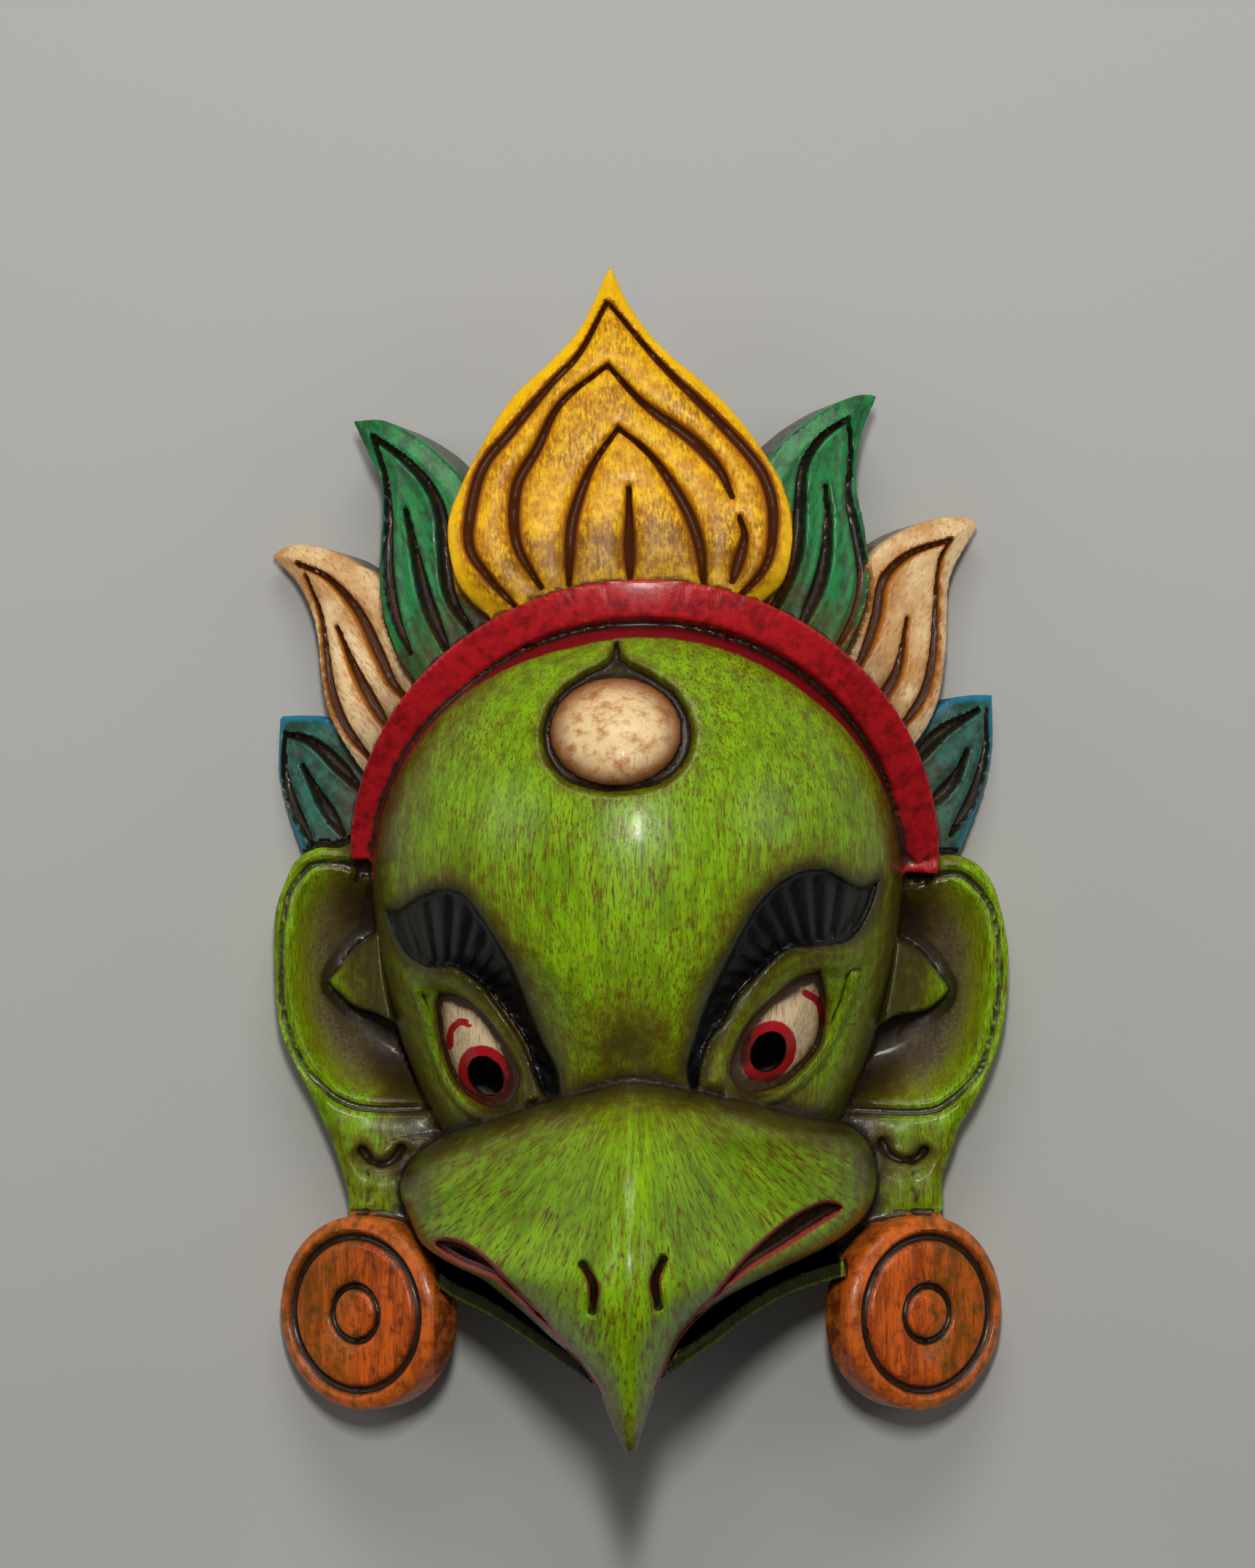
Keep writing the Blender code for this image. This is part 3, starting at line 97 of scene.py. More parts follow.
# Leaves of the crown: outline from the tip round to the tip, a pivot on the front face,
# the turn outwards and the lean back in degrees, the thickness, and the carved veins
LEAVES = {
    "flame": {
        "outline": [(-6.4, 134.0), (-1.5, 124.1), (5.5, 115.1), (15.4, 106.5), (22.4, 99.5), (28.8, 90.9),
                    (33.2, 83.2), (35.4, 75.5), (35.5, 67.7), (33.2, 59.9), (26.8, 54.3), (18.0, 46.0),
                    (-3.0, 42.0), (-26.0, 46.0), (-33.0, 51.5), (-38.5, 56.2), (-42.1, 61.9), (-43.8, 71.3),
                    (-42.5, 78.1), (-37.6, 89.0), (-29.4, 102.6), (-20.3, 111.5), (-13.1, 119.8),
                    (-6.4, 134.0)],
        "pivot": (-3.0, 55.0, 46.0), "turn": 0, "lean": -7, "thickness": 24,
        "veins": [
            [(-7.1, 125.3), (-13.3, 113.5), (-20.3, 105.8), (-28.9, 95.3), (-35.3, 87.4), (-38.1, 78.3),
             (-38.8, 68.4), (-34.6, 61.4), (-28.2, 54.3)],
            [(-6.4, 124.8), (4.8, 111.5), (15.4, 100.8), (25.3, 90.2), (29.7, 83.2), (31.3, 74.8),
             (29.7, 64.1), (23.3, 56.3)],
            [(-6.9, 110.5), (-17.7, 101.6), (-23.2, 90.9), (-27.9, 81.8), (-27.9, 69.1), (-22.2, 58.5)],
            [(-6.9, 110.5), (1.3, 101.6), (12.5, 93.1), (18.9, 86.0), (21.8, 79.7)],
            [(23.6, 74.8), (24.6, 69.8), (21.8, 59.9)],
            [(-4.4, 95.8), (-10.6, 86.7), (-14.5, 76.1), (-15.5, 69.1), (-15.8, 59.2)],
            [(-4.4, 95.8), (3.5, 88.9), (10.5, 78.3), (14.1, 69.1), (15.4, 58.5)],
            [(-2.0, 81.8), (-1.7, 60.5)],
        ],
    },
    "green_left": {
        "outline": [(-67.6, 98.9), (-60.2, 98.8), (-51.8, 94.2), (-46.1, 89.3), (-41.9, 84.6), (-32.0, 70.0),
                    (-30.0, 50.0), (-38.3, 42.0), (-46.0, 32.0), (-54.7, 40.2), (-58.9, 48.8),
                    (-60.9, 57.2), (-61.1, 66.5), (-60.6, 76.5), (-60.9, 85.1), (-63.8, 90.6), (-67.6, 98.9)],
        "pivot": (-46.0, 50.0, 33.0), "turn": -22, "lean": -6, "thickness": 21,
        "veins": [
            [(-62.4, 95.0), (-59.6, 85.1), (-58.6, 75.8), (-58.6, 63.0), (-56.7, 52.4), (-53.2, 43.8)],
            [(-54.2, 77.2), (-51.8, 66.5), (-48.9, 55.2), (-43.9, 43.1)],
            [(-62.4, 95.0), (-54.7, 89.3), (-48.9, 82.9), (-45.7, 75.1), (-44.7, 63.0), (-43.2, 55.9),
             (-38.3, 48.1)],
        ],
    },
    "green_right": {
        "outline": [(57.2, 104.9), (53.1, 104.9), (48.2, 103.1), (41.1, 98.6), (35.4, 93.5), (31.5, 88.6),
                    (22.0, 72.0), (24.0, 50.0), (40.0, 33.0), (46.7, 40.1), (51.1, 47.5), (54.0, 54.5),
                    (55.1, 63.0), (54.0, 73.6), (52.3, 81.5), (52.3, 89.3), (54.0, 97.1), (57.2, 104.9)],
        "pivot": (40.0, 50.0, 33.0), "turn": 22, "lean": -6, "thickness": 21,
        "veins": [
            [(49.6, 98.9), (43.2, 94.2), (38.9, 87.1), (37.9, 76.5), (36.9, 66.5), (32.5, 55.2), (29.0, 51.0)],
            [(44.0, 82.9), (44.7, 73.6), (43.2, 62.3), (39.6, 53.0), (37.3, 48.1)],
            [(49.6, 98.9), (50.4, 91.3), (49.9, 80.7), (51.4, 72.3), (53.1, 62.3), (51.4, 53.0), (46.0, 43.1)],
        ],
    },
    "cream_left": {
        "outline": [(-87.5, 67.3), (-84.2, 69.6), (-78.6, 70.0), (-71.3, 67.9), (-66.4, 64.9), (-61.8, 62.3),
                    (-50.0, 50.0), (-46.0, 34.0), (-56.0, 16.0), (-63.0, 14.5), (-69.0, 21.7),
                    (-73.2, 29.4), (-75.2, 37.8), (-76.1, 46.2), (-77.8, 54.0), (-81.4, 61.1), (-87.5, 67.3)],
        "pivot": (-62.0, 35.0, 23.0), "turn": -26, "lean": -6, "thickness": 17,
        "veins": [
            [(-78.8, 62.5), (-75.2, 53.3), (-73.9, 44.1), (-72.5, 35.0), (-69.0, 26.6), (-62.7, 18.8)],
            [(-70.7, 50.1), (-66.8, 40.6), (-62.7, 32.9), (-57.8, 25.1)],
            [(-80.8, 65.4), (-73.2, 61.8), (-66.1, 54.0), (-61.1, 44.1), (-57.8, 37.2), (-53.5, 32.2)],
        ],
    },
    "cream_right": {
        "outline": [(81.6, 74.5), (79.6, 76.3), (74.4, 76.6), (67.4, 74.9), (60.3, 71.0), (56.0, 66.7),
                    (44.0, 50.0), (42.0, 36.0), (54.0, 16.0), (61.6, 18.5), (67.4, 24.4), (71.5, 32.2),
                    (73.4, 42.1), (74.0, 51.9), (74.4, 60.3), (76.4, 66.0), (81.6, 74.5)],
        "pivot": (60.0, 38.0, 23.0), "turn": 26, "lean": -6, "thickness": 17,
        "veins": [
            [(74.4, 71.0), (64.5, 67.4), (58.2, 61.1), (56.4, 52.6), (53.3, 43.5), (49.8, 37.8)],
            [(63.5, 51.9), (61.6, 40.6), (58.2, 34.3), (54.0, 29.4)],
            [(74.4, 71.0), (71.5, 65.4), (70.8, 54.7), (70.1, 43.5), (67.4, 33.6), (60.3, 24.4)],
        ],
    },
    "teal_left": {
        "outline": [(-85.4, 29.4), (-79.2, 29.6), (-73.5, 28.6), (-66.0, 22.0), (-57.0, 12.0), (-56.0, 0.0),
                    (-66.0, -8.0), (-76.8, -8.0), (-81.6, 1.0), (-85.1, 11.9), (-86.0, 19.5), (-85.4, 29.4)],
        "pivot": (-70.0, 10.0, 12.5), "turn": -24, "lean": -4, "thickness": 14,
        "veins": [
            [(-84.1, 25.2), (-84.1, 16.8), (-81.9, 8.3), (-77.0, -0.9)],
            [(-79.2, 17.5), (-74.9, 9.6), (-69.3, 1.1)],
            [(-84.1, 25.2), (-77.0, 23.1), (-70.6, 17.5), (-65.4, 11.9)],
        ],
    },
    "teal_right": {
        "outline": [(84.9, 34.5), (79.0, 34.3), (73.0, 32.5), (66.0, 24.0), (58.0, 12.0), (60.0, -2.0),
                    (68.0, -9.0), (74.4, -7.0), (81.1, 6.9), (84.3, 17.5), (85.2, 26.7), (84.9, 34.5)],
        "pivot": (72.0, 12.0, 12.5), "turn": 24, "lean": -4, "thickness": 14,
        "veins": [
            [(81.1, 30.8), (71.8, 25.2), (64.8, 17.5)],
            [(78.0, 20.9), (74.7, 13.9), (68.4, 7.6)],
            [(83.3, 30.8), (82.9, 20.9), (79.7, 10.3), (74.1, 1.1)],
        ],
    },
}
LEAF_EDGE_DROP = 2.4
LEAF_EDGE_REACH = 6.0
VEIN_THIN = 0.36
VEIN_SWELL = 1.6
PILLOW_DROP = 0.9
PILLOW_REACH = 5.0

# Relief moves the skin within this depth under a flat face, and this far off it
RELIEF_FADE = 9.0
SKIN_TOLERANCE = 1.6
HEAD_TOLERANCE = 2.5
FACING = 0.15

# Ears: outline, the curl that borders the bowl, the small flap and the lobe fold
EAR_TOP = 17.0
EAR_FADE = 6.0
EAR_EDGE_DROP = 2.0
EAR_BOWL_DEPTH = 10.5
EAR_BOWL_REACH = 15.0
EAR_BOWL_BACK = 25.0
EAR_FLAP_TIP = 5.0
EAR_FLAP_RISE = 15.0
EAR_FLAP_REACH = 15.0
LOBE_FOLD_WIDTH = 3.0
LOBE_FOLD_DEPTH = 2.6
EARS = {
    "left": {
        "outline": [(-56.0, -2.0), (-70.3, -2.0), (-75.2, -2.0), (-80.2, -5.0), (-83.1, -11.0), (-85.0, -17.2),
                    (-85.3, -25.0), (-85.0, -34.9), (-83.8, -44.6), (-80.7, -52.5), (-76.4, -60.5),
                    (-72.2, -69.9), (-69.8, -76.7), (-67.9, -83.4), (-67.1, -90.0), (-60.0, -98.0),
                    (-48.0, -96.0), (-46.0, -50.0)],
        "curl": [(-55.0, -7.6), (-63.3, -7.6), (-69.8, -5.5), (-76.4, -5.9), (-80.7, -11.0), (-82.6, -17.2),
                 (-83.4, -26.4), (-83.0, -38.5), (-81.0, -46.3), (-77.6, -53.7), (-72.9, -59.1),
                 (-67.9, -62.2), (-61.8, -63.4), (-50.0, -63.4)],
        "flap": [(-72.4, -33.6), (-69.6, -29.7), (-66.6, -25.7), (-63.3, -23.3), (-56.0, -20.0), (-54.0, -42.0),
                 (-62.0, -40.9), (-66.6, -39.4), (-69.6, -36.9)],
        "fold": [(-64.5, -73.2), (-62.6, -75.4), (-60.2, -76.3), (-57.5, -75.4), (-55.4, -72.6)],
    },
    "right": {
        "outline": [(56.0, -5.0), (65.4, -6.5), (68.9, -4.4), (73.2, -3.5), (78.7, -5.0), (82.9, -9.3),
                    (85.3, -16.0), (86.9, -24.5), (87.0, -33.5), (86.0, -43.4), (83.6, -52.0),
                    (79.9, -60.5), (75.6, -67.7), (74.1, -72.4), (71.7, -79.3), (71.0, -90.0), (62.0, -98.0),
                    (48.0, -96.0), (46.0, -50.0)],
        "curl": [(55.0, -10.0), (65.4, -9.8), (70.8, -8.3), (76.3, -8.3), (81.7, -13.6), (84.0, -20.2),
                 (84.9, -29.3), (84.4, -38.5), (82.5, -47.7), (79.4, -55.5), (73.2, -61.7),
                 (66.6, -64.1), (50.0, -63.7)],
        "flap": [(73.2, -35.5), (70.0, -30.6), (66.4, -26.3), (62.1, -23.6), (56.0, -21.0), (54.0, -43.0),
                 (60.9, -41.6), (66.4, -40.8), (70.0, -39.1)],
        "fold": [(57.5, -71.4), (59.0, -73.8), (61.0, -75.1), (63.9, -75.6), (65.9, -74.8), (67.3, -73.2)],
    },
}

# Jaw block behind the beak, which carries the discs and the lower beak
JAW = [(-50.0, -70.0), (-62.0, -84.0), (-60.0, -98.0), (-46.0, -104.0), (-30.0, -105.0), (0.0, -108.0),
       (30.0, -102.0), (46.0, -100.0), (60.0, -98.0), (64.0, -84.0), (50.0, -70.0)]
JAW_TOP = 18.0

# Ear discs: centre of the front face, the ring grooves as shares of the radius
DISC_CENTRES = {"left": (-66.4, -111.2, 22.0), "right": (68.2, -111.2, 22.0)}
DISC_RIM_SHARE = 0.79
DISC_RING_SHARE = 0.285
DISC_EDGE_DROP = 1.2
DISC_EDGE_ROUND = 0.0012

# Band over the brow: an arc whose front falls away to both sides
BAND_CENTRE = (1.7, -4.5)
BAND_HALF_SPAN = 64.6
BAND_HEIGHT = 60.4
BAND_TOP = 55.0
BAND_END = 22.0
BAND_BACK = 40.0
BAND_EDGE_DROP = 0.8
BAND_SLOPE = 3.5
BAND_SLOPE_DEPTH = 13.0
BAND_FIRST_ANGLE = -3
BAND_LAST_ANGLE = 180

# Upper beak by level slices: height on the mask, left and right edge, depth of edge and ridge
BEAK_SLICES = [
    (-54.6, -4.0, 3.5, 58.0, 67.0),
    (-57.0, -11.5, 13.5, 55.0, 76.0),
    (-60.0, -23.0, 26.0, 47.0, 84.0),
    (-63.5, -31.5, 37.0, 39.0, 91.0),
    (-67.0, -40.5, 49.0, 33.0, 96.5),
    (-70.5, -47.0, 53.4, 29.0, 100.0),
    (-74.0, -51.5, 55.0, 27.0, 103.0),
    (-78.5, -54.6, 55.7, 25.5, 106.0),
    (-82.5, -55.2, 55.4, 25.0, 108.2),
    (-86.0, -54.0, 54.0, 26.0, 109.5),
    (-90.0, -52.2, 50.5, 29.0, 111.0),
    (-94.0, -49.6, 44.5, 34.0, 111.8),
    (-97.5, -43.5, 36.0, 42.0, 112.0),
    (-100.5, -36.0, 28.5, 50.0, 112.0),
    (-104.0, -30.5, 20.5, 59.0, 111.8),
    (-108.0, -25.0, 14.5, 66.0, 111.2),
    (-112.0, -20.0, 10.2, 73.0, 110.2),
    (-117.0, -13.4, 6.8, 81.0, 108.6),
    (-123.0, -8.8, 4.0, 88.0, 106.0),
    (-129.5, -5.9, 1.6, 93.5, 102.8),
    (-135.6, -2.8, -0.6, 97.0, 99.6),
]
BEAK_RIDGE = -1.8
BEAK_RIDGE_WIDTH = 19.0
BEAK_CHEEK_RISE = 40.0
BEAK_BACK = 8.0
BEAK_HOOK_STARTS = -86.0
BEAK_HOOK_WHOLE = -110.0
BEAK_FREE_FROM = -93.0
BEAK_FREE_RUN = 5.0
BEAK_HOOK_UNDERSIDE = 5.0
BEAK_UNDER_BULGE = 2.0

# Carved mouth corners and nostrils on the beak
SLOT_DEPTH = 4.5
SLOT_LEVEL = 38.0
LIP_LINE_WIDTH = 2.4
LIP_LINE_DEPTH = 1.2
NOSTRIL_LEVEL = 75.0
SLOTS = {
    "left": [(-46.2, -92.3), (-43.7, -91.2), (-39.0, -91.8), (-33.7, -94.7), (-29.0, -99.0), (-23.0, -105.0),
             (-20.0, -108.7), (-24.0, -105.8), (-31.0, -99.6), (-34.9, -97.9), (-40.3, -96.4), (-44.9, -94.1)],
    "right": [(46.6, -84.2), (42.6, -82.8), (36.2, -85.1), (29.6, -89.3), (23.2, -94.4), (17.0, -101.3),
              (12.5, -107.5), (17.6, -102.6), (24.0, -96.8), (32.9, -92.3), (38.8, -89.1), (44.5, -86.1)],
}
LIP_LINES = {
    "left": [(-22.0, -106.2), (-16.2, -113.0), (-12.0, -118.0), (-8.2, -123.2)],
    "right": [(14.0, -105.6), (9.8, -111.4), (6.9, -117.0), (4.4, -121.8)],
}
NOSTRILS = {
    "left": [(-12.0, -93.8), (-9.8, -98.0), (-9.9, -103.5)],
    "right": [(5.4, -92.4), (3.7, -96.8), (4.3, -102.4)],
}
NOSTRIL_WIDTH = 3.0
NOSTRIL_DEPTH = 3.5

# Lower beak: its lip from ear disc to ear disc, and the throat line that it grows from
LOWER_LIP = [(-46.0, -104.0, 34.0), (-42.8, -106.2, 38.0), (-34.5, -109.3, 48.0), (-26.3, -113.6, 58.0),
             (-17.4, -118.6, 70.0), (-10.0, -122.3, 80.0), (-2.0, -124.4, 86.0), (5.6, -121.0, 80.0),
             (16.7, -114.6, 70.0), (23.3, -110.2, 62.0), (29.8, -106.8, 54.0), (36.4, -104.2, 46.0),
             (44.1, -102.4, 38.0), (48.0, -101.6, 34.0)]
THROAT_SHARE = 0.96
THROAT_RISE = 0.42
THROAT_LEVEL = -100.0

# Jewel on the forehead: a ball in a pointed recess
JEWEL_CENTRE = (-5.0, 25.0)
JEWEL_RECESS = [(-4.8, 45.6), (-2.2, 41.2), (3.6, 38.0), (9.6, 33.2), (12.6, 26.0), (11.4, 18.6), (5.6, 12.9),
                (-5.0, 10.9), (-15.4, 12.9), (-20.8, 18.6), (-21.8, 26.0), (-18.8, 33.2), (-13.0, 38.0),
                (-7.4, 41.2), (-4.8, 45.6)]
JEWEL_RECESS_DEPTH = 4.0
JEWEL_RISE = 8.0

# Eyes: brow, eyeball, the two lids and the pupil
BROW_DEPTH = 3.2
STRAND_DEPTH = 0.9
STRANDS = 9
LID_RISE = 2.2
LID_WIDTH = 6.5
EYE_DEPTH = 4.2
EYE_BULGE = 3.2
SOCKET_DEPTH = 9.0
SOCKET_REACH = 25.0
EYES = {
    "left": {
        "centre": (-35.0, -46.0),
        "pupil": (-35.0, -54.5),
        "brow": [(-58.5, -16.3), (-54.9, -16.0), (-50.2, -13.0), (-44.2, -11.0), (-39.4, -12.5), (-34.8, -18.2),
                 (-31.1, -24.0), (-28.3, -29.5), (-24.6, -39.4), (-21.6, -46.6), (-18.5, -52.5), (-18.0, -58.7),
                 (-21.1, -58.5), (-23.5, -53.4), (-25.8, -46.6), (-28.8, -41.9), (-32.4, -37.1),
                 (-36.6, -32.3), (-41.9, -29.1), (-47.7, -29.1), (-52.5, -27.0), (-56.0, -22.3), (-58.5, -16.3)],
        "brow_root": (-44.0, -42.0),
        "strands_from": 75, "strands_to": 175,
        "ball": [(-45.7, -35.1), (-46.7, -38.6), (-45.7, -46.5), (-43.3, -54.2), (-39.2, -59.5), (-33.8, -61.9),
                 (-29.0, -60.2), (-26.6, -55.3), (-27.8, -50.7), (-31.3, -44.6), (-35.5, -39.3),
                 (-41.0, -35.6), (-45.7, -35.1)],
        "upper_lid": [(-51.6, -32.9), (-44.5, -31.6), (-38.0, -34.6), (-33.4, -39.6), (-29.6, -45.9),
                      (-26.2, -52.4), (-24.6, -57.6)],
        "lower_lid": [(-51.3, -35.5), (-48.6, -43.4), (-46.8, -49.9), (-44.5, -55.9), (-40.3, -61.2),
                      (-35.4, -63.8), (-28.9, -62.6), (-25.0, -58.9)],
    },
    "right": {
        "centre": (32.0, -43.0),
        "pupil": (30.0, -48.6),
        "brow": [(55.6, -9.5), (51.6, -10.7), (48.1, -9.5), (42.8, -6.7), (37.3, -6.9), (31.5, -10.0),
                 (26.7, -15.2), (23.2, -21.2), (20.7, -26.5), (17.2, -33.6), (14.9, -39.4), (12.4, -47.2),
                 (11.2, -52.5), (13.1, -57.2), (14.2, -51.9), (16.0, -46.1), (19.5, -41.2), (22.5, -35.9),
                 (26.2, -31.8), (29.7, -28.1), (34.5, -24.6), (41.0, -24.0), (46.3, -23.5), (50.4, -21.2),
                 (53.9, -15.2), (55.6, -9.5)],
        "brow_root": (42.0, -38.0),
        "strands_from": 5, "strands_to": 105,
        "ball": [(41.8, -29.8), (36.4, -31.4), (31.7, -35.1), (27.5, -38.6), (24.5, -42.8), (21.5, -49.3),
                 (20.9, -53.5), (23.4, -57.2), (28.0, -58.0), (34.1, -56.0), (38.9, -51.8), (42.4, -46.5),
                 (43.6, -37.4), (41.8, -29.8)],
        "upper_lid": [(50.7, -25.9), (46.4, -27.6), (41.2, -27.4), (36.0, -29.0), (30.1, -32.7), (25.9, -37.6),
                      (22.9, -42.9), (20.4, -48.3), (18.9, -54.7)],
        "lower_lid": [(50.0, -31.4), (48.4, -37.4), (45.9, -43.4), (42.4, -49.9), (37.5, -55.2), (31.7, -59.1),
                      (25.7, -59.9), (21.0, -57.8)],
    },
}

# Hollow behind: the head's own egg, drawn in by the wall, and a pocket inside the beak
HOLLOW_FINENESS = (96, 48)
PUPIL_SIDES = 64
POCKET_FINENESS = (64, 32)
HOLLOW_LOWER_END = -93.0
HOLLOW_SOCKET_WALL = 4.0
POCKET_CENTRE = (-2.0, -72.0)
POCKET_SIZE = (24.0, 17.0, 66.0)

# Pupil cut: middle level and length, long enough to pass right through the wall
PUPIL_LEVEL = 42.0
PUPIL_CUT = 80.0

# Carved fades and rises of the head's forms
SOCKET_FLAT = 0.35
HOLLOW_SOCKET_SHARE = 1.3
BAND_RISE_POWER = 1.1

# Painting: how far each colour reaches past the edge of its form, in carving units
PAINT_REACH = 0.8
PAINT_MARGIN = 4.0
LINE_MARGIN = 6.0
FAR = 9.0
VERY_FAR = 99.0
LEAF_KINDS = {
    "yellow": ("flame",),
    "emerald": ("green_left", "green_right"),
    "cream": ("cream_left", "cream_right"),
    "teal": ("teal_left", "teal_right"),
}
BAND_PAINT_END = 0.08
BAND_PAINT_DEPTH = 4.0
BAND_PAINT_SLOPE = 5.0
SLOPE_PAINT_DEPTH = 18.0
SLOPE_PAINT_TOP = 0.6
FLAP_CLEAR = 2.5
MOUTH_LIP_SHARE = 0.7
MOUTH_LIP_DEPTH = 1.4
MOUTH_EDGE_DEPTH = 1.5
MOUTH_HALF_WIDTH = 47.0
MOUTH_TOP = -93.0
LOWER_BEAK_TOP = -97.0
LOWER_BEAK_HALF_WIDTH = 47.5
LOWER_BEAK_CLEAR = 6.0
SLOT_BAND = 1.3
NOSTRIL_THIN = 0.35
FACE_LEVEL = 25.0
BROW_BEAK_GAP = 0.5
PUPIL_RING = (6.3, 7.4)
EYE_STROKES = [
    [(-38.8, -42.4), (-40.6, -41.9), (-42.4, -43.0), (-43.4, -45.4), (-43.4, -48.0)],
    [(38.6, -35.1), (41.8, -37.5), (42.8, -42.3)],
]
HOLLOW_SPAN = 50.0
POCKET_SPAN = 20.0
STREAK_SHARE = 0.13
LEAF_STREAK_SHARE = 0.3
BEAK_CROWN = (0.0, -46.0)
BEAK_FAN = 34.0
BEAK_FAN_START = 200.0
HOLLOWNESS_ROUNDS = {"cavity_fine": 3, "cavity_mid": 14, "cavity_wide": 90, "cavity_vast": 260}

# Brown patina and painted shade beside a form: how far it reaches and how strong it is there
GRIME_AND_SHADE = {
    "beak_top": (8.0, 0.98), "beak_foot": (5.0, 0.8), "jewel": (2.6, 0.7), "brow": (6.5, 0.95),
    "ball": (2.6, 0.6), "between_brows": (15.0, 0.75),
}
BEAK_TOP_ROWS = -80.0
BEAK_FOOT_ROWS = -78.0
BAND_GRIME_AND_SHADE = 0.75
BAND_GRIME_AND_SHADE_REACH = 9.0
BAND_GRIME_AND_SHADE_END = -6.0
GRIME_AND_SHADE_SPOT = (-2.0, -46.0)
SIDE_GRIME_AND_SHADE = 0.8
SIDE_GRIME_AND_SHADE_STARTS = (0.78, 0.98)
SIDE_GRIME_AND_SHADE_ENDS = (1.04, 1.25)
LOBE_SIDE = 50.0
LOBE_TOP = -62.0
# The lobes grow darker towards the bottom, by this much and over this run
LOBE_DARKENING = 0.42
LOBE_DARKENING_RUN = 8.0

# Paint. A layer is a tone and the shares that it is laid with. A share is a name, or a ramp of a
# named value from one limit to the other, with the strengths there where they aren't 0 and 1.
EDGE = (-0.3, 0.3)
NOISES = {
    "dashes": (True, 3.0, (3.0, 0.6)), "fine": (True, 1.5, (4.0, 0.65)), "broad": (True, 0.42, (3.0, 0.6)),
    "blotch": (False, 0.06, (4.0, 0.6)), "mottle": (False, 0.28, (5.0, 0.65)), "speck": (False, 1.1, (3.0, 0.6)),
}
SHARES = {
    "bowl_deep": [("bowl_uneven", 4.0, 10.0)],
    "lower": [("lower_beak", 0.0, 0.6), ("lip_in", 0.4, 1.2, 0.75, 0.97)],
    "brow_share": [("brow~", -0.4, 0.2)],
    "nostril_dark": [("nostril", 1.1, 0.7)],
    "slot_dark": [("slot", 0.2, 0.9), ("slot_floor", 0.0, 0.6)],
    "mouth_dark": [("mouth~", *EDGE)],
    "bare_share": [("bare", 0.0, 0.5)],
}
# How far the skin lies in a hollow darkens it: brown patina that settles there, and painted shade
CAVITIES = {
    "cavity_fine": (0.03, 0.18), "cavity_mid": (0.1, 0.9),
    "cavity_wide": (0.3, 3.2, 0.0, 0.9), "cavity_vast": (0.3, 5.0, 0.0, 0.6),
}
WOOD_GRAIN = (0.9, 0.05, 0.4)
COATS = {
    "green": ["82B208", ("648C06", ("broad", 0.35, 0.68)),
              ("664C06", ("fine", 0.44, 0.66), ("blotch", 0.32, 0.68, 0.45, 1.0)),
              ("4C3A08", ("dashes", 0.55, 0.66, 0.0, 0.75)), ("5A480A", ("mottle", 0.52, 0.75, 0.0, 0.5))],
    "yellow": ["F6C208", ("CC8C06", ("mottle", 0.36, 0.64)),
               ("8E560A", ("blotch", 0.4, 0.66), ("fine", 0.38, 0.6, 0.0, 0.85)),
               ("8A5610", ("fine", 0.5, 0.66, 0.0, 0.5)), ("F0BE14", ("leaf_rim", 4.0, 1.5, 0.0, 0.7))],
    "emerald": ["1C8040", ("205834", ("broad", 0.4, 0.62)), ("2A3620", ("mottle", 0.5, 0.7, 0.0, 0.7))],
    "cream": ["F4D8A6", ("BC864A", ("blotch", 0.36, 0.62, 0.1, 0.9)), ("86562A", ("fine", 0.5, 0.7, 0.0, 0.6))],
    "teal": ["2C6658", ("243C34", ("mottle", 0.35, 0.65)),
             ("1878A0", ("leaf_rim", 2.2, 0.4, 0.0, 0.8), ("leaf_depth", -4.5, -2.0))],
    "red": ["B0141E", ("7C0C14", ("mottle", 0.4, 0.7)), ("4E0A0C", ("fine", 0.55, 0.7, 0.0, 0.4))],
    "orange": ["D2601A", ("9C4210", ("broad", 0.38, 0.66)), ("5A2A0C", ("fine", 0.48, 0.68, 0.0, 0.75)),
               ("4A1A0E", ("mottle", 0.5, 0.7, 0.0, 0.7))],
    "ivory": ["E4C898", ("B07640", ("mottle", 0.42, 0.7)), ("8E5A34", ("fine", 0.55, 0.72, 0.0, 0.6))],
    "white": ["E6D0AC", ("B8905C", ("fine", 0.45, 0.7))],
    "bowl": ["6E5E4A", ("4C3E30", ("speck", 0.35, 0.65))],
    "dirt_and_shade": ["5A460A", ("2A1C0C", ("grime_and_shade", 0.4, 0.95))],
    "vein floor": ["100E0C", ("3C1E10", "on_warm")],
    "vein bank": ["0C2A1A", ("A8620E", "on_warm")],
    "vein": ["vein floor", ("vein bank", ("vein_edge", 0.55, 0.95))],
    # painted shade on the lower beak, under the upper beak
    "lower beak": ["1A1A08", ("141008", ("mottle", 0.4, 0.65))],
    "jewel": ["84481E", ("ivory", ("jewel", -0.5, 5.5))],
    # eyeball: tan towards its edge is painted shade where it sinks under the lids
    "eye": ["8A5A2C", ("white", ("ball", -0.2, 3.4)), ("A81220", ("stroke", 1.0, 0.7)),
            ("B01422", ("pupil_edge", 1.04, 0.98)), ("080606", ("pupil_edge", 0.7, 0.64))],
    # brown patina in the hollows, with painted shade
    "brown wash": ["2E2014", ("1C140C", ("mottle", 0.35, 0.65)), ("4A260E", "on_warm")],
    "wood": ["A5794C", ("6E4826", ("grain", 0.35, 0.68))],
}
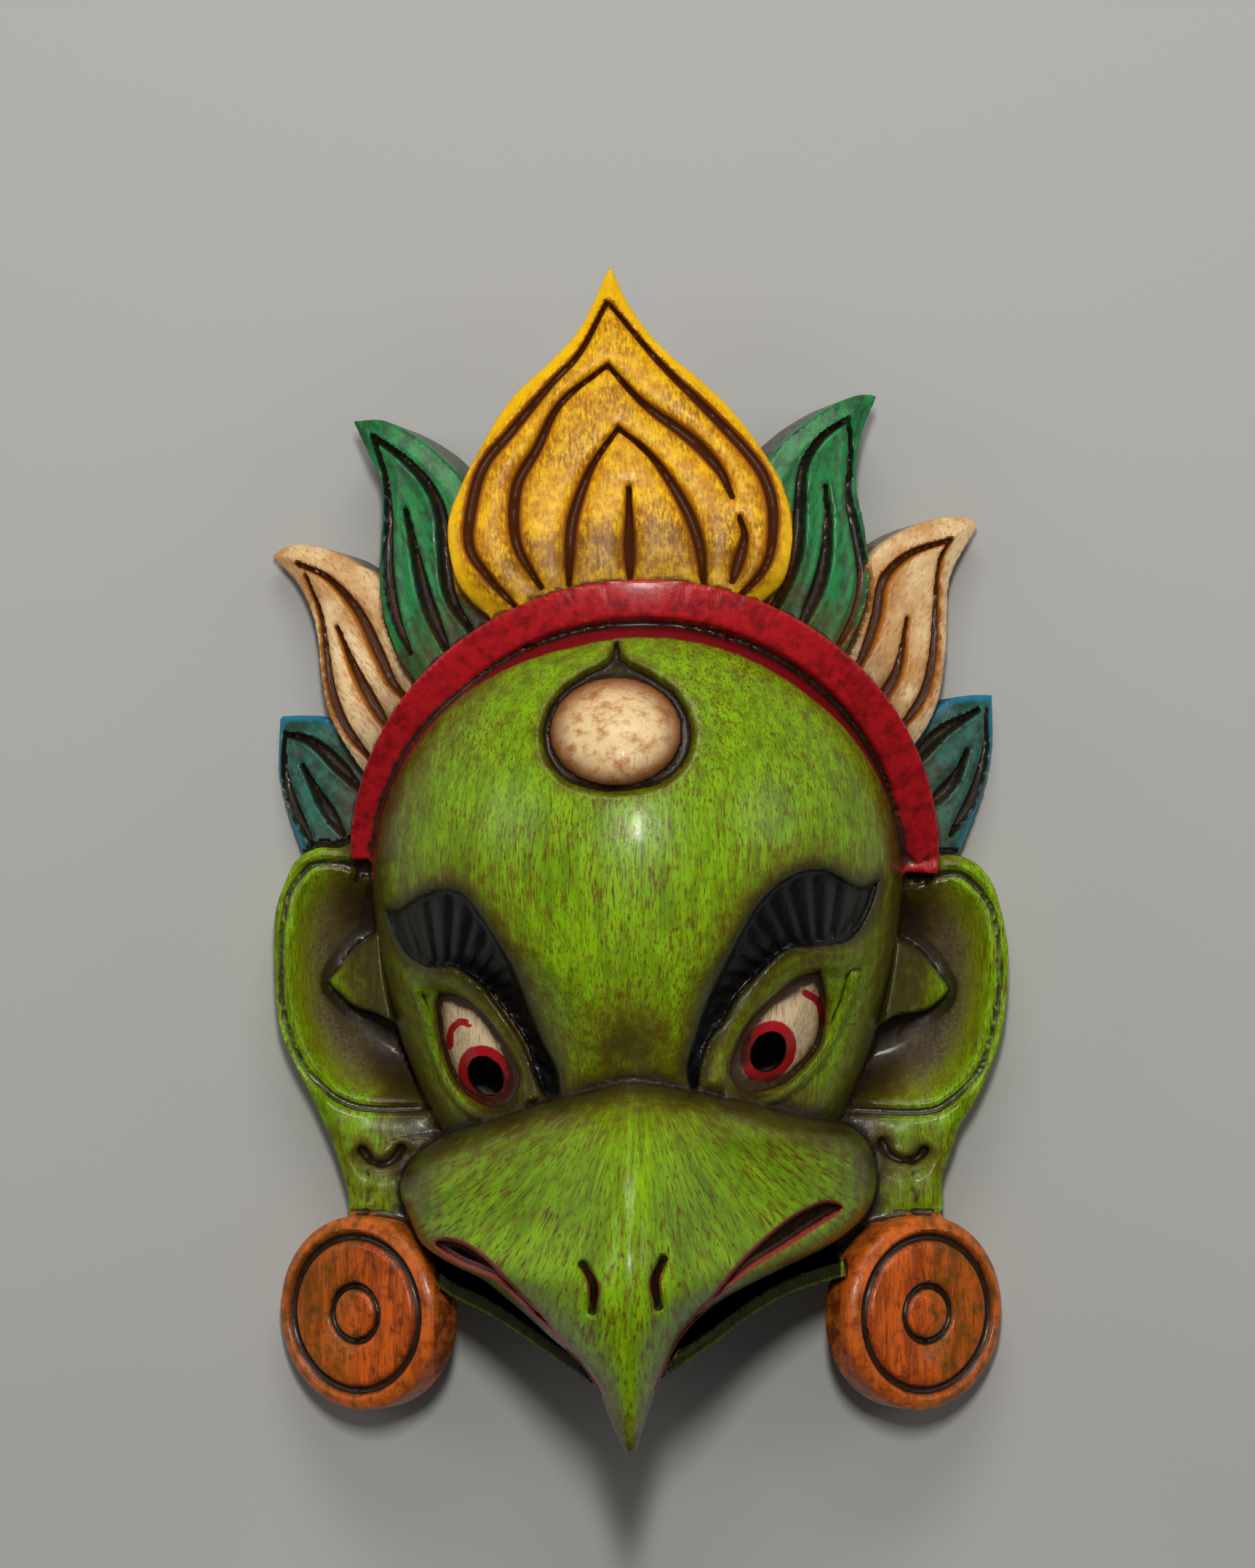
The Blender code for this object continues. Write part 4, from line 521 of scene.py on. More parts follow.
SKIN = [
    "green",
    ("6A6410", ("bowl_uneven", 1.0, 5.0, 0.0, 0.7)),
    ("bowl", ("bowl_uneven", 4.0, 10.0, 0.0, 0.9)),
    # painted shadow round the lobe folds
    ("4A3C30", ("ear_fold", 4.5, 1.0, 0.0, 0.7)),
    ("orange", ("disc~", *EDGE)),
    # brown patina and painted shade beside brows, eyes, band, beak and the head's sides
    ("dirt_and_shade", ("gathered_and_shaded", 0.08, 0.8, 0.0, 0.93)),
    ("teal", ("teal~", *EDGE)),
    ("cream", ("cream~", *EDGE)),
    ("emerald", ("emerald~", *EDGE)),
    ("yellow", ("yellow~", *EDGE)),
    ("9A5A1A", ("vein_edge", 2.4, 1.0, 0.0, 0.55), "on_warm", ("fine", 0.35, 0.6)),
    ("vein", ("vein_edge", 1.35, 0.9), "on_leaf"),
    ("30241A", ("leaf_depth", -3.5, -8.0), "on_leaf", ("mottle", 0.35, 0.6, 0.75, 0.95)),
    # the same brown patina and painted shade, on the leaves
    ("4A2C0C", ("gathered_and_shaded", 0.2, 1.0, 0.0, 0.6), "on_leaf"),
    # painted shade on the lower beak, under the upper beak, with its lip edge left green
    ("lower beak", "lower"),
    # painted shade on the band's inner slope
    ("6E0E16", ("band_slope~", *EDGE)),
    ("red", ("band~", *EDGE)),
    ("241A10", ("recess", -0.2, 1.4, 0.0, 0.9)),
    ("jewel", ("jewel~", -0.2, 0.4)),
    ("eye", ("ball~", *EDGE)),
    ("070909", "brow_share"),
    ("8E3A30", ("lip_line", 1.1, 0.5)),
    ("8E3A30", ("nostril", 1.6, 1.1)),
    ("0A0806", "nostril_dark"),
    ("8E3A30", ("slot", -0.9, -0.3)),
    ("0A0806", "slot_dark"),
    ("120A08", ("ring_near", 1.2, 0.5), ("disc_depth", -6.0, -4.0)),
    ("4A1C14", ("rim_near", 1.6, 0.4), ("disc_depth", -6.0, -4.0)),
    # lighter orange on each disc's rounded outer edge: a painted highlight
    ("DC7428", ("disc_away", 19.3, 20.2), ("disc", *EDGE), ("mottle", 0.35, 0.6, 0.6, 0.1)),
    # brown patina and painted shade in the hollows
    ("brown wash", "washed_and_shaded"),
    ("060505", "mouth_dark"),
    ("wood", "bare_share"),
]
SHARP_ANGLE = math.radians(50)

# Camera: where it stands over the mask and how far it sees, from the photograph's own measures
CAMERA_STAND = (-2.3, 13.05, 1500.0)
CAMERA_LENS = 145.31
SENSOR = 36.0

# Studio: name, place, aim, width, height and power of each light, in metres and watts
LIGHT_COLOUR = (1.0, 0.965, 0.9)
LIGHTS = [
    ("front_strip", (0.0, 0.27, 1.15), (0.0, 0.0, 0.06), 0.07, 0.2, 7.0),
    ("top_soft", (0.0, 1.3, 0.9), (0.0, 0.0, 0.03), 1.0, 0.5, 10.5),
    ("left_soft", (-1.3, 0.4, 0.7), (0.0, 0.0, 0.03), 0.5, 0.7, 3.4),
    ("right_soft", (1.3, 0.4, 0.7), (0.0, 0.0, 0.03), 0.5, 0.7, 3.0),
]
WORLD_COLOUR = (0.85, 0.82, 0.78, 1.0)
WORLD_STRENGTH = 0.1
FLOOR_SIZE = 6.0
FLOOR_GAP = 0.0003
FLOOR_COLOUR = (0.42, 0.425, 0.425, 1.0)
FLOOR_ROUGHNESS = 0.75


def smooth_path(points, closed=False, steps=OUTLINE_STEPS):
    """Catmull-Rom curve through the given points."""
    p = np.array(points, dtype=float)
    if closed:
        p = np.vstack([p[-1], p, p[0], p[1]])
    else:
        p = np.vstack([2 * p[0] - p[1], p, 2 * p[-1] - p[-2]])
    t = np.linspace(0, 1, steps, endpoint=False)[:, None]
    rows = []
    for a, b, c, d in zip(p[:-3], p[1:-2], p[2:-1], p[3:]):
        rows.append(0.5 * (2 * b + (c - a) * t + (2 * a - 5 * b + 4 * c - d) * t ** 2
                           + (3 * b - a - 3 * c + d) * t ** 3))
    curve = np.vstack(rows)
    return curve if closed else np.vstack([curve, p[-2]])


def ramp(low, high, value):
    """Smooth step from 0 at low to 1 at high."""
    t = np.clip((value - low) / (high - low), 0, 1)
    return t * t * (3 - 2 * t)


def path_distance(spots, path):
    """Distance from each spot to an open path of straight pieces."""
    best = np.full(len(spots), np.inf)
    for a, b in zip(path[:-1], path[1:]):
        along = b - a
        share = np.clip(((spots - a) @ along) / max(along @ along, 1e-12), 0, 1)
        best = np.minimum(best, np.hypot(*(spots - a - share[:, None] * along).T))
    return best


def path_measure(spots, path):
    """Distance from each spot to a path, and the share of its length there."""
    best = np.full(len(spots), np.inf)
    share = np.zeros(len(spots))
    lengths = np.hypot(*np.diff(path, axis=0).T)
    run = 0.0
    for a, b, length in zip(path[:-1], path[1:], lengths):
        along = b - a
        part = np.clip(((spots - a) @ along) / max(length ** 2, 1e-12), 0, 1)
        away = np.hypot(*(spots - a - part[:, None] * along).T)
        nearer = away < best
        best[nearer] = away[nearer]
        share[nearer] = (run + part[nearer] * length) / lengths.sum()
        run += length
    return best, share


def vein_measure(spots, path):
    """Distance from each spot to a vein, in half widths of the vein there."""
    away, share = path_measure(spots, path)
    swell = VEIN_THIN + (1 - VEIN_THIN) * np.sin(math.pi * share ** VEIN_SWELL)
    return away / (VEIN_WIDTH / UNIT / 2 * swell)


def inner_distance(spots, outline):
    """Distance to a closed outline, positive inside it."""
    loop = np.vstack([outline, outline[:1]])
    inside = np.zeros(len(spots), dtype=bool)
    for (ax, ay), (bx, by) in zip(loop[:-1], loop[1:]):
        crosses = (ay > spots[:, 1]) != (by > spots[:, 1])
        reach = ax + (spots[:, 1] - ay) * (bx - ax) / ((by - ay) or 1e-12)
        inside ^= crosses & (spots[:, 0] < reach)
    return np.where(inside, 1, -1) * path_distance(spots, loop)


def near(spots, path, margin):
    """Spots within the path's own box, widened by a margin."""
    low = path.min(axis=0) - margin
    high = path.max(axis=0) + margin
    return np.all((spots > low) & (spots < high), axis=1)


def groove(spots, path, width, depth):
    """Depth of a round-bottomed groove along a path at each spot."""
    cut = np.zeros(len(spots))
    close = near(spots, path, width)
    away = path_distance(spots[close], path)
    cut[close] = depth * (1 - ramp(0.1 * width, 0.62 * width, away))
    return cut


def outline_of(part):
    """Closed outline of a leaf that keeps its pointed tip."""
    return smooth_path(part["outline"])[:-1]


def leaf_matrix(leaf):
    """Frame of a leaf: origin on its front face, Z out of that face."""
    turn = Matrix.Rotation(math.radians(leaf["turn"]), 4, "Y")
    lean = Matrix.Rotation(math.radians(leaf["lean"]), 4, "X")
    return Matrix.Translation(Vector(leaf["pivot"])) @ turn @ lean


def onto_leaf(leaf, seen):
    """Carry points seen from the front onto the leaf's own plane."""
    turn = math.radians(leaf["turn"])
    lean = math.radians(leaf["lean"])
    offset = np.asarray(seen, dtype=float) - np.array(leaf["pivot"][:2])
    up = offset[:, 1] / math.cos(lean)
    across = (offset[:, 0] - up * math.sin(lean) * math.sin(turn)) / math.cos(turn)
    return np.column_stack([across, up])


def into_frame(points, matrix):
    """Points of the mask in a turned part's own frame."""
    inverse = np.array(matrix.inverted())
    return points @ inverse[:3, :3].T + inverse[:3, 3]


def new_object(name, mesh, collection):
    """Object of a mesh, linked to a collection."""
    item = bpy.data.objects.new(name, mesh)
    collection.objects.link(item)
    return item


def plate(name, outline, low, high, collection, matrix=Matrix.Identity(4)):
    """Flat plate of a closed outline between two levels, in carving units."""
    curve = bpy.data.curves.new(name, "CURVE")
    curve.dimensions = "2D"
    curve.fill_mode = "BOTH"
    curve.extrude = (high - low) / 2 * UNIT
    spline = curve.splines.new("POLY")
    spline.points.add(len(outline) - 1)
    for point, (x, y) in zip(spline.points, outline):
        point.co = (x * UNIT, y * UNIT, 0, 1)
    spline.use_cyclic_u = True
    guide = new_object(name + "_curve", curve, collection)
    raise_up = Matrix.Translation((0, 0, (high + low) / 2 * UNIT))
    placed = matrix.copy()
    placed.translation = matrix.translation * UNIT
    item = mesh_of(guide, name, collection)
    item.data.transform(placed @ raise_up)
    return item


def mesh_of(guide, name, collection):
    """Closed mesh of a curve object, which is then removed."""
    depsgraph = bpy.context.evaluated_depsgraph_get()
    mesh = bpy.data.meshes.new_from_object(guide.evaluated_get(depsgraph))
    weld(mesh)
    bpy.data.objects.remove(guide, do_unlink=True)
    return new_object(name, mesh, collection)


def weld(mesh):
    """Join a mesh's loose caps to its sides."""
    shape = bmesh.new()
    shape.from_mesh(mesh)
    bmesh.ops.remove_doubles(shape, verts=shape.verts, dist=1e-6)
    bmesh.ops.recalc_face_normals(shape, faces=shape.faces)
    shape.to_mesh(mesh)
    shape.free()


def loft(name, sections, collection):
    """Skin between sections of like point counts, closed at both ends."""
    count = len(sections[0])
    points = np.vstack(sections) * UNIT
    faces = []
    for row in range(len(sections) - 1):
        for step in range(count):
            after = (step + 1) % count
            faces.append((row * count + step, row * count + after,
                          (row + 1) * count + after, (row + 1) * count + step))
    faces.append(tuple(range(count))[::-1])
    faces.append(tuple(range((len(sections) - 1) * count, len(sections) * count)))
    mesh = bpy.data.meshes.new(name)
    mesh.from_pydata(points.tolist(), [], faces)
    weld(mesh)
    return new_object(name, mesh, collection)


def primitive(add, name, collection, **settings):
    """A primitive of the given kind, named and kept in one collection."""
    add(**settings)
    item = bpy.context.object
    item.name = name
    for holder in list(item.users_collection):
        holder.objects.unlink(item)
    collection.objects.link(item)
    return item


def egg(name, fineness, inset, lower_reach, sink, floor_level, collection):
    """The head's egg, drawn in by an inset, sunk behind the eyes and flattened at a floor."""
    item = primitive(bpy.ops.mesh.primitive_uv_sphere_add, name, collection,
                     segments=fineness[0], ring_count=fineness[1], radius=1)
    for vertex in item.data.vertices:
        x, y, z = vertex.co
        reach = HEAD_UPPER_REACH - inset if y > 0 else lower_reach
        px = HEAD_CENTRE[0] + x * (HEAD_HALF_WIDTH - inset)
        py = HEAD_CENTRE[1] + y * reach
        pz = HEAD_CENTRE[2] + z * (HEAD_RISE - inset)
        for eye in EYES.values() if sink else ():
            away = math.hypot(px - eye["centre"][0], py - eye["centre"][1])
            fade = 1 - float(ramp(SOCKET_FLAT * SOCKET_REACH, HOLLOW_SOCKET_SHARE * SOCKET_REACH, away))
            pz -= sink * fade * max(z, 0)
        vertex.co = Vector((px, py, max(pz, floor_level))) * UNIT
    return item


def head(collection):
    """Egg-shaped head."""
    return egg("head", HEAD_FINENESS, 0.0, HEAD_LOWER_REACH, 0.0, -SPARE_DEPTH, collection)


def band(collection):
    """Band over the brow, flat in front and sloping in to the forehead."""
    half = BAND_WIDTH / UNIT / 2
    inner = -half - BAND_SLOPE
    section = [(half, 0.0), (half, -BAND_BACK), (inner, -BAND_BACK), (inner, -BAND_SLOPE_DEPTH),
               (-half, -BAND_EDGE_DROP)]
    sections = []
    for angle in np.radians(np.linspace(BAND_FIRST_ANGLE, BAND_LAST_ANGLE, BAND_STATIONS)):
        out = np.array([math.cos(angle), math.sin(angle)])
        rise = max(math.sin(angle), 0) ** BAND_RISE_POWER
        level = BAND_END + (BAND_TOP - BAND_END) * rise
        centre = np.array(BAND_CENTRE) + out * np.array([BAND_HALF_SPAN, BAND_HEIGHT])
        sections.append([(*(centre + out * r), max(level + z, -SPARE_DEPTH)) for r, z in section])
    return loft("band", sections, collection)


def beak_front(across, left, right, edge, ridge, hook):
    """Depth of the beak's front at places across one level slice."""
    side = np.where(across < BEAK_RIDGE, (across - BEAK_RIDGE) / (left - BEAK_RIDGE),
                    (across - BEAK_RIDGE) / (right - BEAK_RIDGE))
    side = np.clip(side, 0, 1)
    rise = ridge - edge
    cheek = min(BEAK_CHEEK_RISE, rise)
    broad = cheek * (1 - side ** 2.6) ** 0.5
    keel = (rise - cheek) / (1 + ((across - BEAK_RIDGE) / BEAK_RIDGE_WIDTH) ** 2) * (1 - side ** 3)
    hooked = rise * (1 - side ** 1.7) ** 0.8
    return edge + (1 - hook) * (broad + keel) + hook * hooked


def upper_beak(collection):
    """Hooked upper beak with its broad cheeks, lofted through level slices."""
    slices = smooth_path(BEAK_SLICES, steps=BEAK_STEPS)
    turn = np.linspace(0, math.pi, BEAK_SECTION_POINTS)
    sections = []
    for level, left, right, edge, ridge in slices:
        hook = float(ramp(BEAK_HOOK_STARTS, BEAK_HOOK_WHOLE, level))
        right = max(right, BEAK_RIDGE + 1.0)
        left = min(left, BEAK_RIDGE - 1.0)
        across = (left + right) / 2 - (right - left) / 2 * np.cos(turn)
        front = beak_front(across, left, right, edge, ridge, hook)
        free = float(ramp(BEAK_FREE_FROM, BEAK_FREE_FROM - BEAK_FREE_RUN, level))
        back = (1 - free) * BEAK_BACK + free * (edge - BEAK_HOOK_UNDERSIDE)
        bulge = BEAK_UNDER_BULGE * np.sin(turn) ** 2 * free
        rear = np.full(len(across), back) - bulge
        loop = [(x, level, z) for x, z in zip(across, front)]
        loop += [(x, level, z) for x, z in zip(across[::-1], rear[::-1])]
        sections.append(loop)
    return loft("upper_beak", sections, collection)


def lower_beak(collection):
    """Thin trough of the lower beak, from its lip back to the throat."""
    lip = smooth_path(LOWER_LIP, steps=LIP_STEPS)
    thick = LIP_THICKNESS / UNIT
    sections = []
    for x, y, z in lip:
        back_y = THROAT_LEVEL + (y - THROAT_LEVEL) * THROAT_RISE
        back_x = x * THROAT_SHARE
        sections.append([(x, y, z), (x, y + thick, z - 1.0), (back_x, back_y + thick, -SPARE_DEPTH),
                         (back_x, back_y, -SPARE_DEPTH)])
    return loft("lower_beak", sections, collection)


def disc_matrix(side):
    """Frame of an ear disc: origin at the middle of its front face."""
    turn = DISC_TURN if side == "right" else -DISC_TURN
    return Matrix.Translation(Vector(DISC_CENTRES[side])) @ Matrix.Rotation(turn, 4, "Y")


def disc(side, collection):
    """Ear disc, a short cylinder turned outwards."""
    item = primitive(bpy.ops.mesh.primitive_cylinder_add, "disc_" + side, collection,
                     vertices=DISC_SIDES, radius=DISC_DIAMETER / 2, depth=DISC_THICKNESS)
    bevel = item.modifiers.new("rounded rim", "BEVEL")
    bevel.width = DISC_EDGE_ROUND
    bevel.segments = 2
    placed = disc_matrix(side)
    placed.translation = placed.translation * UNIT
    item.data.transform(placed @ Matrix.Translation((0, 0, -DISC_THICKNESS / 2)))
    return item


def rough_forms(collection):
    """Every rough form of the block before the fine carving."""
    forms = [head(collection), band(collection), upper_beak(collection), lower_beak(collection)]
    for name, leaf in LEAVES.items():
        outline = onto_leaf(leaf, outline_of(leaf))
        forms.append(plate(name, outline, -leaf["thickness"], 0, collection, leaf_matrix(leaf)))
    for side, ear in EARS.items():
        outline = smooth_path(ear["outline"], closed=True)
        forms.append(plate("ear_" + side, outline, -SPARE_DEPTH, EAR_TOP, collection))
        forms.append(disc(side, collection))
    forms.append(plate("jaw", smooth_path(JAW, closed=True), -SPARE_DEPTH, JAW_TOP, collection))
    return forms


def merged(forms, voxel, name, collection):
    """One closed skin round all the forms."""
    depsgraph = bpy.context.evaluated_depsgraph_get()
    points = []
    faces = []
    for form in forms:
        mesh = form.evaluated_get(depsgraph).to_mesh()
        first = len(points)
        points += [form.matrix_world @ vertex.co for vertex in mesh.vertices]
        faces += [[first + index for index in face.vertices] for face in mesh.polygons]
    whole = bpy.data.meshes.new(name)
    whole.from_pydata(points, [], faces)
    item = new_object(name, whole, collection)
    remesh = item.modifiers.new("one skin", "REMESH")
    remesh.mode = "VOXEL"
    remesh.voxel_size = voxel
    apply_modifiers(item)
    for form in forms:
        bpy.data.objects.remove(form, do_unlink=True)
    return item


def apply_modifiers(item):
    """Replace the object's mesh with its evaluated one."""
    depsgraph = bpy.context.evaluated_depsgraph_get()
    mesh = bpy.data.meshes.new_from_object(item.evaluated_get(depsgraph))
    item.modifiers.clear()
    item.data = mesh


def leaf_carving(points):
    """Puffed edges and veins of the leaves, as a cut along each leaf's own Z."""
    shift = np.zeros_like(points)
    for leaf in LEAVES.values():
        matrix = leaf_matrix(leaf)
        local = into_frame(points, matrix)
        outline = onto_leaf(leaf, outline_of(leaf))
        level = local[:, 2]
        chosen = np.flatnonzero((level > -RELIEF_FADE) & (level < SKIN_TOLERANCE)
                                & near(local[:, :2], outline, SKIN_TOLERANCE))
        spots = local[chosen][:, :2]
        edge = inner_distance(spots, outline)
        drop = LEAF_EDGE_DROP * (1 - ramp(-1.0, LEAF_EDGE_REACH, edge))
        sunk = np.zeros(len(chosen))
        for vein in leaf["veins"]:
            path = onto_leaf(leaf, smooth_path(vein))
            away = vein_measure(spots, path)
            cut = VEIN_DEPTH / UNIT * np.clip(1 - away ** 2, 0, 1) ** 0.7
            pillow = PILLOW_DROP * np.clip(1 - away * VEIN_WIDTH / UNIT / 2 / PILLOW_REACH, 0, 1) ** 2
            sunk = np.maximum(sunk, cut + pillow)
        drop = np.maximum(drop, drop * 0.6 + sunk)
        drop *= np.clip(1 + level[chosen] / RELIEF_FADE, 0, 1) * (edge > -SKIN_TOLERANCE)
        out = np.array(matrix.to_3x3() @ Vector((0, 0, 1)))
        shift[chosen] -= drop[:, None] * out
    return shift


def beside_discs(points):
    """1 away from the ear discs, fading to 0 on them."""
    share = np.ones(len(points))
    radius = DISC_DIAMETER / UNIT / 2
    for side in DISC_CENTRES:
        local = into_frame(points, disc_matrix(side))
        away = np.hypot(local[:, 0], local[:, 1]) - radius
        share = np.minimum(share, ramp(0.5, 3.0, away))
    return share


def disc_carving(points):
    """Ring grooves of the ear discs."""
    shift = np.zeros_like(points)
    radius = DISC_DIAMETER / UNIT / 2
    for side in DISC_CENTRES:
        matrix = disc_matrix(side)
        local = into_frame(points, matrix)
        away = np.hypot(local[:, 0], local[:, 1])
        level = local[:, 2]
        chosen = (level > -RELIEF_FADE) & (level < SKIN_TOLERANCE) & (away < radius + SKIN_TOLERANCE)
        rim = 1 - ramp(0.2, GROOVE_WIDTH / UNIT * 0.6, np.abs(away - radius * DISC_RIM_SHARE))
        ring = 1 - ramp(0.2, GROOVE_WIDTH / UNIT * 0.45, np.abs(away - radius * DISC_RING_SHARE))
        edge = ramp(radius * 0.86, radius, away) * DISC_EDGE_DROP
        drop = np.maximum(np.maximum(rim, ring) * GROOVE_DEPTH / UNIT, edge)
        drop *= np.clip(1 + level / RELIEF_FADE, 0, 1)
        out = np.array(matrix.to_3x3() @ Vector((0, 0, 1)))
        shift[chosen] -= drop[chosen][:, None] * out
    return shift


def soft_distance(spots, path):
    """Distance to a path that stays smooth where two stretches are equally near."""
    lengths = np.hypot(*np.diff(path, axis=0).T)
    run = np.concatenate([[0], np.cumsum(lengths)])
    even = np.arange(0, run[-1], 1.0)
    stops = np.column_stack([np.interp(even, run, path[:, axis]) for axis in (0, 1)])
    pull = np.zeros(len(spots))
    for stop in stops:
        pull += 1 / np.maximum(((spots - stop) ** 2).sum(axis=1), 0.25) ** 1.5
    return np.sqrt(2 / pull)


def ear_bowl(spots, ear):
    """Distance inwards from the curl that borders the bowl of an ear."""
    curl = smooth_path(ear["curl"])
    inner = np.sign(curl[0, 0]) * EAR_BOWL_BACK
    rim = np.vstack([curl, [[inner, curl[-1, 1]], [inner, curl[0, 1]]]])
    return np.where(inner_distance(spots, rim) > 0, soft_distance(spots, curl), 0)


def ear_carving(points):
    """Bowl, curl, flap and lobe fold of both ears, as a cut along Z."""
    drop = np.zeros(len(points))
    flat = points[:, :2]
    for ear in EARS.values():
        outline = smooth_path(ear["outline"], closed=True)
        low_part = points[:, 2] < EAR_TOP + EAR_FADE
        chosen = np.flatnonzero(low_part & near(flat, outline, SKIN_TOLERANCE))
        edge = inner_distance(flat[chosen], outline)
        chosen = chosen[edge > -SKIN_TOLERANCE]
        edge = edge[edge > -SKIN_TOLERANCE]
        spots = flat[chosen]
        level = points[chosen][:, 2]
        inward = np.clip(ear_bowl(spots, ear) / EAR_BOWL_REACH, 0, 1)
        bowl = EAR_BOWL_DEPTH * np.sin(inward * math.pi / 2) ** 1.3
        tip = abs(ear["flap"][0][0])
        share = np.clip((tip - np.abs(spots[:, 0])) / EAR_FLAP_REACH, 0, 1)
        puff = ramp(-0.6, 1.0, inner_distance(spots, smooth_path(ear["flap"], closed=True)))
        cut = bowl - (EAR_FLAP_TIP + EAR_FLAP_RISE * share) * puff
        cut += EAR_EDGE_DROP * (1 - ramp(-1.0, 3.0, edge))
        cut += groove(spots, smooth_path(ear["curl"]), GROOVE_WIDTH / UNIT, GROOVE_DEPTH / UNIT)
        fold = smooth_path(ear["fold"])
        cut += groove(spots, fold, LOBE_FOLD_WIDTH, LOBE_FOLD_DEPTH)
        below_fold = fold - np.array([0, LOBE_FOLD_WIDTH / 2])
        cut += groove(spots, below_fold, 2 * LOBE_FOLD_WIDTH, LOBE_FOLD_DEPTH / 2)
        below = np.clip((level + SPARE_DEPTH) / (EAR_TOP + SPARE_DEPTH), 0, 1)
        above = np.clip(1 - (level - EAR_TOP) / EAR_FADE, 0, 1)
        drop[chosen] = cut * below * above * beside_discs(points[chosen])
    return np.column_stack([np.zeros((len(points), 2)), -drop])


def face_level(points, facing):
    """Vertices that belong to the front of the head."""
    x = (points[:, 0] - HEAD_CENTRE[0]) / HEAD_HALF_WIDTH
    reach = np.where(points[:, 1] > HEAD_CENTRE[1], HEAD_UPPER_REACH, HEAD_LOWER_REACH)
    y = (points[:, 1] - HEAD_CENTRE[1]) / reach
    surface = HEAD_CENTRE[2] + HEAD_RISE * np.sqrt(np.clip(1 - x * x - y * y, 0, 1))
    return facing & (np.abs(points[:, 2] - surface) < HEAD_TOLERANCE) & (x * x + y * y < 1)


def brow_strands(spots, eye):
    """Fan of fine cuts that make the brow's hairs."""
    away = spots - np.array(eye["brow_root"])
    angle = np.degrees(np.arctan2(away[:, 1], away[:, 0]))
    span = (angle - eye["strands_from"]) / (eye["strands_to"] - eye["strands_from"])
    return STRAND_DEPTH * np.abs(np.cos(span * STRANDS * math.pi)) ** 3


def face_carving(points, facing):
    """Brows, lids, eyes and jewel, as a cut along Z on the front of the head."""
    drop = np.zeros(len(points))
    chosen = np.flatnonzero(face_level(points, facing))
    spots = points[chosen][:, :2]
    cut = np.zeros(len(chosen))
    for eye in EYES.values():
        away = np.hypot(*(spots - np.array(eye["centre"])).T)
        brow_edge = inner_distance(spots, smooth_path(eye["brow"])[:-1])
        ball_edge = inner_distance(spots, smooth_path(eye["ball"])[:-1])
        socket = SOCKET_DEPTH * (1 - ramp(SOCKET_FLAT * SOCKET_REACH, SOCKET_REACH, away))
        brow = ramp(-0.8, 1.0, brow_edge)
        ball = ramp(-0.8, 0.8, ball_edge)
        cut += socket
        cut += brow * (BROW_DEPTH + brow_strands(spots, eye) * ramp(0.5, 2.5, brow_edge))
        cut += ball * (EYE_DEPTH - EYE_BULGE * ramp(0.0, 9.0, ball_edge))
        for lid in ("upper_lid", "lower_lid"):
            path = smooth_path(eye[lid])
            roll = groove(spots, path, LID_WIDTH * (1.0 if lid == "upper_lid" else 0.5), LID_RISE)
            cut -= roll * (1 - ball) * (1 - brow)
    recess = inner_distance(spots, smooth_path(JEWEL_RECESS)[:-1])
    cut += JEWEL_RECESS_DEPTH * ramp(-1.0, 1.5, recess)
    across = (spots[:, 0] - JEWEL_CENTRE[0]) / (JEWEL_WIDTH / UNIT / 2)
    up = (spots[:, 1] - JEWEL_CENTRE[1]) / (JEWEL_HEIGHT / UNIT / 2)
    cut -= JEWEL_RISE * np.sqrt(np.clip(1 - across ** 2 - up ** 2, 0, 1))
    drop[chosen] = cut
    return np.column_stack([np.zeros((len(points), 2)), -drop])


def beak_carving(points, facing):
    """Mouth corners, lip lines and nostrils, as a cut along Z."""
    drop = np.zeros(len(points))
    flat = points[:, :2]
    for side in SLOTS:
        slot = smooth_path(SLOTS[side], closed=True)
        chosen = np.flatnonzero(near(flat, slot, 3.0) & facing & (points[:, 2] > SLOT_LEVEL))
        drop[chosen] += SLOT_DEPTH * ramp(-0.6, 1.2, inner_distance(flat[chosen], slot))
        lines = ((LIP_LINES[side], LIP_LINE_WIDTH, LIP_LINE_DEPTH),
                 (NOSTRILS[side], NOSTRIL_WIDTH, NOSTRIL_DEPTH))
        for path, width, depth in lines:
            curve = smooth_path(path)
            chosen = np.flatnonzero(near(flat, curve, width) & facing & (points[:, 2] > NOSTRIL_LEVEL))
            drop[chosen] += groove(flat[chosen], curve, width, depth)
    return np.column_stack([np.zeros((len(points), 2)), -drop])


def carve(item):
    """Move the dense skin's vertices to make all the relief."""
    mesh = item.data
    points, normals = mesh_points(mesh)
    facing = normals[:, 2] > FACING
    moved = points + leaf_carving(points) + disc_carving(points) + ear_carving(points)
    moved += face_carving(points, facing) + beak_carving(points, facing)
    mesh.vertices.foreach_set("co", (moved * UNIT).ravel())
    mesh.update()


def reduce_to(item, triangles):
    """Bring the skin down to about so many triangles."""
    count = sum(len(face.vertices) - 2 for face in item.data.polygons)
    decimate = item.modifiers.new("fewer faces", "DECIMATE")
    decimate.ratio = min(1.0, triangles / count)
    decimate.use_collapse_triangulate = True
    apply_modifiers(item)


def hollow_cutter(collection):
    """The room for the wearer's face: the head's egg drawn in by the wall."""
    return egg("hollow", HOLLOW_FINENESS, WALL / UNIT, HEAD_CENTRE[1] - HOLLOW_LOWER_END,
               SOCKET_DEPTH + HOLLOW_SOCKET_WALL, -2 * SPARE_DEPTH, collection)


